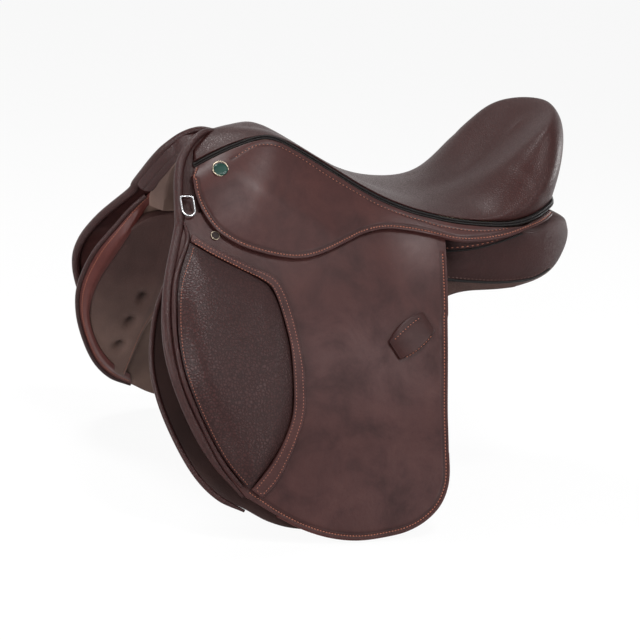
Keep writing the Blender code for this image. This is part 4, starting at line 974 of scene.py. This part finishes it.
def facing(tag, side):
    inner_at = line_function(outline(KNEE_TOP, 13) + outline(KNEE_REAR, 24)[1:])
    outer_at = line_function(outline(FACING_OUTER, 36))

    def strip(u, v):
        a, b = inner_at(u), outer_at(u)
        a = a + (b - a).normalized() * FACING_GAP
        place = a.lerp(b, v)
        return on_surface(flap_surface, place.x, place.y, FACING_LIFT + FACING_THICK)
    item = grid_sheet("knee_facing_" + tag, lambda u, v: strip(u, 1 - v), shares(0.31, 0.0022),
                      even(12), FACING_THICK, -side, BROWN, 0.0008)
    place_vertices(item, coordinates(item) * (-1.0, 1.0, 1.0))
    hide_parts("knee_pad_facing_" + tag)
    body = "flap_" + tag
    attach(item, body)
    caster = Caster(item)
    lines = [[strip(u, v) for u in np.linspace(0.012, 0.988, 160)] for v in (0.2, 0.8)]
    lines += [[strip(u, v) for v in np.linspace(0.22, 0.78, 8)] for u in (0.01, 0.99)]
    seams = [caster.seam(sided(line, side), (side, 0, 0), -0.00025) for line in lines]
    press(item, [(seam, 0.0004, 0.001) for seam in seams], side)
    for i, seam in enumerate(seams):
        stitches("facing_stitches_%s_%d" % (tag, i), seam, THREAD, body, radius=0.00058)


ROLL_POINTS = 150


def roll(tag, side):
    lower = [on_surface(flap_surface, y, z, -FLAP_LEATHER * 0.8) for y, z in forward(ROLL_ROUTE)]
    line = sided(spline(ROLL_TOP + lower, ROLL_POINTS), side)
    sizes = [min(1.0, 0.38 + 0.026 * (ROLL_POINTS - 1 - i), 0.55 + 0.022 * i)
             for i in range(ROLL_POINTS)]
    item = cord("roll_leather_" + tag, line, FLAP_ROLL, DARK, None, 18, sizes=sizes)
    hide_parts("pommel_roll_" + tag, "flap_roll_" + tag)
    fold_between(item, FLAP_FOLD)


# The pommel: the leather behind the rolls, the padded facing before them and the lining.

APRON_BACK = mm(
    (0, -170, 64), (10, -180, 59), (19, -192, 50), (30, -199, 37), (40, -201, 25),
    (50, -202.5, 15), (64, -204, 3), (80, -208, -13))
FACING_IN = mm(
    (0, -207.5, 29), (14.5, -209.5, 23.5), (29, -212, 11), (45.5, -216.5, -5.5),
    (63, -222.5, -24.5))
FACING_TOP = mm(
    (0, -205, 59), (9, -205.5, 56.5), (18, -208, 52), (30, -219, 36.5), (46, -226.5, 19),
    (68, -231.5, -2.5), (85, -234.8, -19))
LINING_OUT = mm(
    (0, -208.5, 30), (14.5, -210, 24.5), (29, -212.5, 12), (45.5, -217, -4.5),
    (64, -221.5, -22.5), (72, -219, -40))
LINING_IN = mm((0, 25.5), (11, 23.8), (23, 16.5), (33.5, 3), (42, -14.5), (46.5, -40))


FACING_TURN = 0.8              # the share of the facing that lies before its turned top edge
FACING_CROWN = 0.0042
LINING_FACE = 0.35             # the share of the lining on the arch's front edge
LINING_Y = -0.2105
LINING_DEPTH = 0.043


def mirrored_line(points):
    """A function of u over the whole arch, from the off side's end to the near side's."""
    half = line_function(points)

    def at(u):
        place = half(abs(2 * u - 1))
        return Vector((place.x if u > 0.5 else -place.x, place.y, place.z))
    return at


def pommel():
    back = mirrored_line(APRON_BACK)
    rim = mirrored_line([p + Vector((0, 0, -0.0012)) for p in map(Vector, ROLL_TOP)])

    def apron(u, v):
        sag = Vector((0.0, 0.0, -0.0014)) * math.sin(math.pi * v)
        return rim(u).lerp(back(u), v) + sag
    item = grid_sheet("pommel_leather", apron, even(120), even(10), 0.0016, 1,
                      SEAT_LEATHER, 0.0004)
    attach(item, "saddle")
    inner, top = mirrored_line(FACING_IN), mirrored_line(FACING_TOP)

    def padded(u, v):
        if v > FACING_TURN:
            turned = (v - FACING_TURN) / (1 - FACING_TURN)
            return top(u).lerp(rim(u) + Vector((0.0, 0.001, -0.001)), turned)
        v = v / FACING_TURN
        end = min(1.0, (1 - abs(2 * u - 1)) * 12) ** 0.5
        place = inner(u).lerp(top(u), 0.55 + (v - 0.55) * (0.35 + 0.65 * end))
        crown = FACING_CROWN * (max(0.0, 1 - abs(2 * v - 1) ** 2.5)) ** 0.5 * end
        return place + Vector((0.0, -crown, -0.25 * crown))
    band = grid_sheet("pommel_facing_leather", padded, even(160), even(30), 0.003, 1, DARK, 0.001)
    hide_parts("pommel_facing")
    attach(band, "saddle")
    line = [padded(u, 0.24) for u in np.linspace(0.02, 0.98, 160)]
    press(band, [([(place, None) for place in line], 0.0007, 0.0013)])
    seam = Caster(band).seam(line, (0, -1, -0.2), -0.0002)
    stitches("pommel_stitches", seam, PALE_THREAD, "saddle", pitch=0.004, length=0.0022,
             radius=0.0004)
    arch = mirrored_line([(x, LINING_Y, z) for x, z in LINING_IN])
    edge = mirrored_line(LINING_OUT)

    def lining(u, v):
        if v < LINING_FACE:
            return edge(u).lerp(arch(u), v / LINING_FACE)
        return arch(u) + Vector((0.0, LINING_DEPTH * (v - LINING_FACE) / (1 - LINING_FACE), 0.0))
    lined = grid_sheet("gullet_lining", lining, even(80), even(20), 0.0007, 1, SWEAT, 0.0002)
    mark(lined, "lining", np.ones(len(lined.data.vertices)) * 0.75)
    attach(lined, "saddle")


# The sweat flap with its rolled edge and sewn binding, and the panel.

BINDING_IN = mm(
    (-206, -27), (-220, -53), (-231, -74), (-245, -113), (-256, -146), (-259, -183), (-253, -211),
    (-237, -243), (-216, -268), (-184, -291))
PANEL_EDGE = mm(
    (-167, -176), (-176, -189), (-185, -212), (-189, -237), (-191, -266), (-192, -287))
PANEL_SOFT = 0.175             # behind this the panel's corners are softened
DIMPLE_DEPTH, DIMPLE_WIDTH, DIMPLE_SHADE = 0.0085, 0.0065, 0.0046
DIMPLES = mm((-200, -169), (-207, -205), (-212, -242))
PANEL_PIPING = mm(
    (-30, -90), (30, -83), (83, -78), (143, -82), (192, -80), (215, -72.5), (222, -69.5))
PANEL_SEAM = mm((65, -50), (82, -47), (110, -41), (138, -33), (170, -22))


def sweat_flap(tag, side):
    front = shifted(SWEAT_OUTLINE, SWEAT_ROLL * 0.7)
    shape = patch(front[3:0:-1] + SWEAT_TOP, front[7:] + SWEAT_BOTTOM[1:], front[3:8], SWEAT_REAR)

    def point(u, v):
        place = shape(u, v)
        return on_surface(sweat_surface, place.x, place.y)
    item = grid_sheet("sweat_leather_" + tag, point, shares(0.33, 0.004), shares(0.27, 0.004),
                      SWEAT_LEATHER, side, SWEAT)
    mark(item, "lining", np.clip(0.5 - normals(item)[:, 0] * side * 2, 0, 1))
    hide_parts("sweat_flap_" + tag)
    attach(item, "saddle")
    route = inset(SWEAT_OUTLINE, SWEAT_ROLL * 0.2, 150)[4:]
    line = [on_surface(sweat_surface, y, z, -SWEAT_LEATHER / 2) for y, z in route]
    sizes = [min(1.0, 0.5 + 0.04 * (len(line) - 1 - i)) for i in range(len(line))]
    edge = cord("sweat_roll_leather_" + tag, sided(line, side), SWEAT_ROLL * 0.72, DARK, "saddle",
                16, sizes=sizes)
    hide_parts("sweat_flap_roll_" + tag)


def inner_face(caster, y, z):
    """The x of the near panel's inner face at (y, z), or the sweat flap's."""
    x = sweat_surface(y, z)
    found = caster.seam([(x, y, z)], (-1, 0, 0), 0.0, 0.07)
    if found:
        return found[0][0].x
    return x - SWEAT_LEATHER


BINDING_STEPS = 60
BINDING_RISE = 0.0042          # how far the strip stands inside the sweat flap at its roll


def binding(tag, side, caster):
    """The sewn strip from the sweat flap's roll to the panel's inner face."""
    outer_at = line_function(flat(inset(SWEAT_OUTLINE, SWEAT_ROLL * 0.45, 80)))
    inner_at = line_function(flat(BINDING_IN))
    reach = []
    for u in even(BINDING_STEPS):
        place = inner_at(u)
        y, z = place.x + 0.002, place.y
        reach.append(sweat_surface(y, z) - inner_face(caster, y, z) + 0.0009)
    reach = np.convolve(np.pad(reach, 4, mode="edge"), np.ones(9) / 9, "valid")

    def point(u, v):
        a, b = outer_at(u), inner_at(u)
        place = a.lerp(b, v)
        depth = float(np.interp(u, np.linspace(0, 1, BINDING_STEPS + 1), reach)) - BINDING_RISE
        swell = BINDING_RISE + depth * smoothstep(u, 0.0, 0.14) * smoothstep(v, 0.0, 0.7)
        return Vector((sweat_surface(place.x, place.y) - swell, place.x, place.y))
    item = grid_sheet("binding_" + tag, lambda u, v: point(u, 1 - v), shares(0.33, 0.003),
                      even(12), 0.0016, side, BINDING, 0.0005)
    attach(item, "saddle")
    line = [point(u, 0.25) + Vector((-0.0002, 0, 0)) for u in np.linspace(0.01, 0.99, 200)]
    out = Vector((-side, 0.0, 0.1)).normalized()
    seam = [(place, out) for place in sided(line, side)]
    stitches("binding_stitches_" + tag, seam, THREAD, "saddle", radius=0.00055)


def panel(tag, side):
    item = skin("panel_" + tag, PANEL, 3)
    places = coordinates(item)
    rear = np.clip((places[:, 1] - PANEL_SOFT) / 0.03, 0, 1)
    relax(item, rear * 0.6, 34)
    places, outward = coordinates(item), normals(item)
    places = places + outward * (0.0016 * rear)[:, None]
    shift = np.zeros(len(places), np.float32)
    dark = np.zeros(len(places), np.float32)
    inward_face = np.clip(-outward[:, 0] * side * 2, 0, 1)
    # Each dimple is pressed in as a pit, and its centre gets painted shade through the seam mark.
    for y, z in DIMPLES:
        gap = np.hypot(places[:, 1] - y, places[:, 2] - z)
        shift -= DIMPLE_DEPTH * np.exp(-(gap / DIMPLE_WIDTH) ** 2) * inward_face
        dark = np.maximum(dark, np.exp(-(gap / DIMPLE_SHADE) ** 2) * inward_face)
    place_vertices(item, places + outward * shift[:, None])
    ys, zs, _ = np.array(spline(flat(PANEL_PIPING), 60)).T
    under = np.clip((np.interp(places[:, 1], ys, zs) - places[:, 2]) / 0.002 + 0.5, 0, 1)
    low = np.clip((-0.13 - places[:, 2]) / 0.1, 0, 1)
    ys, zs, _ = np.array(spline(flat(PANEL_EDGE), 40)).T
    border = np.interp(-places[:, 2], -zs, ys)
    beyond = np.clip((places[:, 1] - border) / 0.0015 + 0.5, 0, 1) * (places[:, 2] < -0.172)
    fore = np.clip((-0.1 - places[:, 1]) / 0.06, 0, 1)
    inner = np.clip(0.5 - outward[:, 0] * side * 1.5, 0, 1)
    # Painted shade: below the piping the underside keeps most of the dark outer colour, and the
    # front of the inner face turns darker towards its top; the lining colour past the stitched
    # front edge is real.
    rear_share = np.maximum(under * 0.22, inner * 0.5) * (1 - fore)
    mark(item, "lining", rear_share + fore * np.maximum(0.1 + 0.4 * low, beyond) * inner)
    mark(item, "seam", dark)
    caster = Caster(item)

    def seam_at(points, distance, count=80, lift=0.0, x=0.15, facing=side):
        line = [(x, y, z) for y, z in inset(points, distance, count)]
        return caster.seam(sided(line, side), (facing, 0, 0), lift)
    rear_edge = PANEL_PIPING[2:]
    cord("panel_piping_" + tag, places_of(seam_at(rear_edge, 0.0, lift=0.0002)), 0.0016, PIPING,
         "saddle")
    cord("panel_welt_" + tag, places_of(seam_at(PANEL_SEAM, 0.0)), 0.0013, PIPING, "saddle")
    stitches("panel_stitches_" + tag, seam_at(PANEL_SEAM, 0.0035), THREAD, "saddle", 0.0058, 0.0032)
    stitches("panel_edge_stitches_" + tag, seam_at(rear_edge, 0.003), DARK_THREAD, "saddle",
             0.005, 0.003)
    front = seam_at(PANEL_EDGE, -0.004, 60, x=0.11, facing=-side)
    stitches("panel_front_stitches_" + tag, front, THREAD, "saddle", radius=0.0005)
    return caster


# The seat, its double welt and what lies under it.

SEAT_CREASE = mm((168, 52), (190, 30), (200, 16))


def seat():
    cover = skin("seat_cover", SEAT_LEATHER, 3)
    caster = Caster(cover)
    grooves = []
    for _, side in SIDES:
        line = sided([(0.1, p.x, p.y) for p in spline(flat(SEAT_CREASE), 24)], side)
        grooves.append((caster.seam(line, (side, 0, 0), 0.0, 0.15), 0.0006, 0.0075))
    places = coordinates(cover)
    rear = np.clip((places[:, 1] + 0.05) / 0.05, 0, 1)
    rear *= np.clip((places[:, 2] - 0.035) / 0.03, 0, 1)
    relax(cover, rear * 0.6, 14)
    press(cover, grooves)
    cover.data.attributes.remove(cover.data.attributes["seam"])    # a fold, so it keeps no painted seam shade
    foam = skin("seat_foam", FOAM, 1)
    place_vertices(foam, coordinates(foam) - normals(foam) * 0.0024)


WELT_POINTS = 150
SEAT_PIPING = 0.0013


def welt(tag, side):
    """Two thin pipings side by side on a flange that runs in under the seat."""
    at = line_function(WELT_LINE)
    high, low, flange = [], [], []
    for t in even(WELT_POINTS - 1):
        run = (at(t + 0.01) - at(max(t - 0.01, 0.0))).normalized()
        steep = max((1 - run.z ** 2) ** 0.5, 0.5)
        middle = at(t) + Vector((0.0015, 0.0, (-WELT - 0.0008) / steep))
        up = Vector((0, 0, 1)) - run * run.z
        up.normalize()
        out = run.cross(up) * -1
        if out.x < 0:
            out = -out
        high.append(middle + up * 0.0022 - out * 0.0004)
        low.append(middle - up * 0.0003 + out * 0.0006)
        flange.append((middle + up * 0.003 - out * 0.003, middle - out * 0.0095 - up * 0.001))
    first = cord("seat_piping_" + tag, sided(high, side), SEAT_PIPING, PIPING, "saddle")
    cord("lower_piping_" + tag, sided(low, side), SEAT_PIPING, PIPING, "saddle")
    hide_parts("seat_welt_" + tag)

    def web(u, v):
        place = min(int(u * (WELT_POINTS - 1)), WELT_POINTS - 2)
        share = u * (WELT_POINTS - 1) - place
        a = flange[place][0].lerp(flange[place + 1][0], share)
        b = low[place].lerp(low[place + 1], share) - Vector((0.0012, 0, 0.0008))
        return b.lerp(a, v)
    strip = grid_sheet("welt_flange_" + tag, web, even(WELT_POINTS - 1), even(2), 0.0012, side,
                       PIPING, 0.0002)
    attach(strip, "saddle")


# Fittings.

KEEPER_CENTRE = (0.0218, -0.129)
KEEPER_RUN = Vector((0.83, 0.56)).normalized()
KEEPER_LENGTH = 0.053
RING_SIDES = 32
STUD_OUT = (0.8, -0.12, 0.58)
STUD_RIM = (0.0088, 0.00065)   # the ring's radius and its wire's
NAIL_RIM = (0.0048, 0.0005)
NAIL_PLACE = (-0.196, -0.0322)


def ring(name, centre, out, radius, wire):
    """A brass rim on the saddle, round a centre that faces a direction."""
    along = Vector((0, 1, 0))
    along = (along - out * along.dot(out)).normalized()
    over = out.cross(along)
    angles = [math.tau * i / RING_SIDES for i in range(RING_SIDES)]
    line = [centre + (along * math.cos(a) + over * math.sin(a)) * radius for a in angles]
    cord(name, line, wire, RIM, "saddle", 8, True)


def fittings(tag, side):
    keeper = skin("surcingle_keeper_" + tag, KEEPER_BROWN, 3)
    caster = Caster(keeper)
    across = Vector((-KEEPER_RUN.y, KEEPER_RUN.x))
    grooves = []
    for i, sign in enumerate((-1, 1)):
        line = []
        for s in np.linspace(-0.38, 0.38, 30):
            lift = 0.012 - 0.01 * abs(s) ** 2
            place = Vector(KEEPER_CENTRE) + KEEPER_RUN * KEEPER_LENGTH * s + across * sign * lift
            line.append((flap_surface(place.x, place.y), place.x, place.y))
        seam = caster.seam(sided(line, side), (side, 0, 0), -0.0002)
        grooves.append((seam, 0.0004, 0.001))
        stitches("keeper_stitches_%s_%d" % (tag, i), seam, THREAD, "flap_" + tag, 0.004, 0.0022,
                 0.00045)
    press(keeper, grooves, side)
    stud = skin("pommel_stud_" + tag, ENAMEL, 2)
    centre = coordinates(stud).mean(0)
    out = sided([STUD_OUT], side)[0].normalized()
    ring("stud_rim_" + tag, Vector(centre) + out * 0.001, out, *STUD_RIM)
    nail = skin("flap_nail_" + tag, BLACK, 2)
    centre = coordinates(nail).mean(0)
    out, = sided([normal_at(flap_surface, *NAIL_PLACE)], side)
    ring("nail_rim_" + tag, Vector(centre), out, *NAIL_RIM)


def straps(tag):
    for name in ("front", "middle", "rear"):
        skin("billet_%s_%s" % (name, tag), STRAP, 1)
    skin("buckle_guard_" + tag, STRAP, 1)
    skin("stirrup_bar_" + tag, STEEL, 1)
    skin("stirrup_catch_" + tag, CHROME, 1)
    skin("front_dee_" + tag, CHROME, 2)
    skin("dee_chape_" + tag, DARK, 2)
    for name in ("knee_block", "thigh_block"):
        skin(name + "_" + tag, BLACK, 2)


def hidden():
    for node, finish in (("tree", WOOD), ("seat_web", WEB), ("girth_web_l", WEB),
                         ("girth_web_r", WEB), ("head_plate", STEEL)):
        frame["nodes"][node].data.materials[0] = finish


for tag, side in SIDES:
    flap(tag, side)
    skirt(tag, side)
    knee_pad(tag, side)
    facing(tag, side)
    roll(tag, side)
    sweat_flap(tag, side)
    caster = panel(tag, side)
    if side == 1:
        near_panel = caster
    binding(tag, side, near_panel)
    welt(tag, side)
    fittings(tag, side)
    straps(tag)
pommel()
seat()
hidden()


# The camera at the photograph's angle, soft studio light and a pale floor.

CAMERA_TURN = math.radians(67.6)
CAMERA_HEIGHT = math.radians(15.5)
CAMERA_ROLL = math.radians(5.8)
CAMERA_DISTANCE = 2.68
CAMERA_FOCUS = 2261.6          # focal length in pixels of the 640-pixel frame
TARGET = Vector((0.0, -0.02, -0.16))
FRAME = 640
SENSOR = 36.0                  # millimetres
LAMP_AIM = Vector((0.0, 0.0, -0.1))
FLOOR_LEVEL = -0.345
FLOOR_SIZE = 40.0
FLOOR_WHITE = 0.92             # the share of plain white that the camera sees in the floor
WORLD_LEVEL = 0.12             # how far the white world lights the leather
# Each lamp's name, place, size and watts.
LAMPS = (("key", (0.95, 0.1, 1.72), 0.5, 27.0), ("front", (0.9, -1.75, 0.1), 0.38, 15.0),
         ("pad", (1.5, -1.3, 0.02), 0.55, 14.0), ("edge", (-0.15, -2.0, 0.3), 0.4, 15.0),
         ("rim", (-0.25, 2.1, 0.15), 0.7, 26.0), ("top", (-0.6, -0.45, 1.8), 0.5, 28.0),
         ("side", (1.55, 0.8, 0.85), 0.6, 12.0), ("low", (1.75, 1.0, -0.1), 0.6, 9.0))


def add_camera():
    towards = Vector((math.sin(CAMERA_TURN) * math.cos(CAMERA_HEIGHT),
                      -math.cos(CAMERA_TURN) * math.cos(CAMERA_HEIGHT), math.sin(CAMERA_HEIGHT)))
    level = Vector((math.cos(CAMERA_TURN), math.sin(CAMERA_TURN), 0.0))
    up = towards.cross(level)
    right = level * math.cos(CAMERA_ROLL) + up * math.sin(CAMERA_ROLL)
    up = up * math.cos(CAMERA_ROLL) - level * math.sin(CAMERA_ROLL)
    place = TARGET + towards * CAMERA_DISTANCE
    camera = bpy.data.objects.new("camera", bpy.data.cameras.new("camera"))
    camera.data.sensor_width = SENSOR
    camera.data.lens = CAMERA_FOCUS * SENSOR / FRAME
    camera.matrix_world = Matrix(((right.x, up.x, towards.x, place.x),
                                  (right.y, up.y, towards.y, place.y),
                                  (right.z, up.z, towards.z, place.z), (0, 0, 0, 1)))
    bpy.context.scene.collection.objects.link(camera)
    bpy.context.scene.camera = camera


def add_lamp(name, place, size, power):
    lamp = bpy.data.lights.new(name, "AREA")
    lamp.shape = "DISK"
    lamp.size = size
    lamp.energy = power
    item = bpy.data.objects.new(name, lamp)
    item.location = place
    item.rotation_euler = (LAMP_AIM - Vector(place)).to_track_quat("-Z", "Y").to_euler()
    bpy.context.scene.collection.objects.link(item)


def add_floor():
    far = FLOOR_SIZE
    mesh = bpy.data.meshes.new("floor")
    mesh.from_pydata([(-far, -far, 0), (far, -far, 0), (far, far, 0), (-far, far, 0)], [],
                     [(0, 1, 2, 3)])
    made = Finish("floor_paint", 0.9)
    made.give(("Base Color", made.mix(made.noise(2.0), (0.78, 0.78, 0.78), (0.82, 0.82, 0.82))))
    rays = made.node("LightPath", {}).outputs
    shown = made.math("MAXIMUM", rays["Is Camera Ray"], rays["Is Glossy Ray"])
    white = made.node("Emission", {"Color": (1, 1, 1)}).outputs["Emission"]
    blend = made.node("MixShader", {"Fac": made.math("MULTIPLY", shown, FLOOR_WHITE),
                                    1: made.shader.outputs["BSDF"], 2: white})
    out = [n for n in made.tree.nodes if n.type == "OUTPUT_MATERIAL"][0]
    made.link(blend.outputs["Shader"], out.inputs["Surface"])
    floor = add_mesh("floor", mesh, made.material)
    floor.location.z = FLOOR_LEVEL


def add_world():
    world = bpy.data.worlds.new("studio")
    world.use_nodes = True
    net = Net(world.node_tree)
    rays = net.node("LightPath", {}).outputs
    seen = net.math("MAXIMUM", rays["Is Camera Ray"], rays["Is Transmission Ray"])
    shown = net.math("MAXIMUM", seen, rays["Is Glossy Ray"])
    back = net.tree.nodes["Background"]
    net.link((1, 1, 1), back.inputs["Color"])
    net.link(net.span(shown, WORLD_LEVEL, 1.0), back.inputs["Strength"])
    bpy.context.scene.world = world


bpy.context.scene.view_settings.view_transform = "Standard"
add_camera()
for lamp in LAMPS:
    add_lamp(*lamp)
add_floor()
add_world()
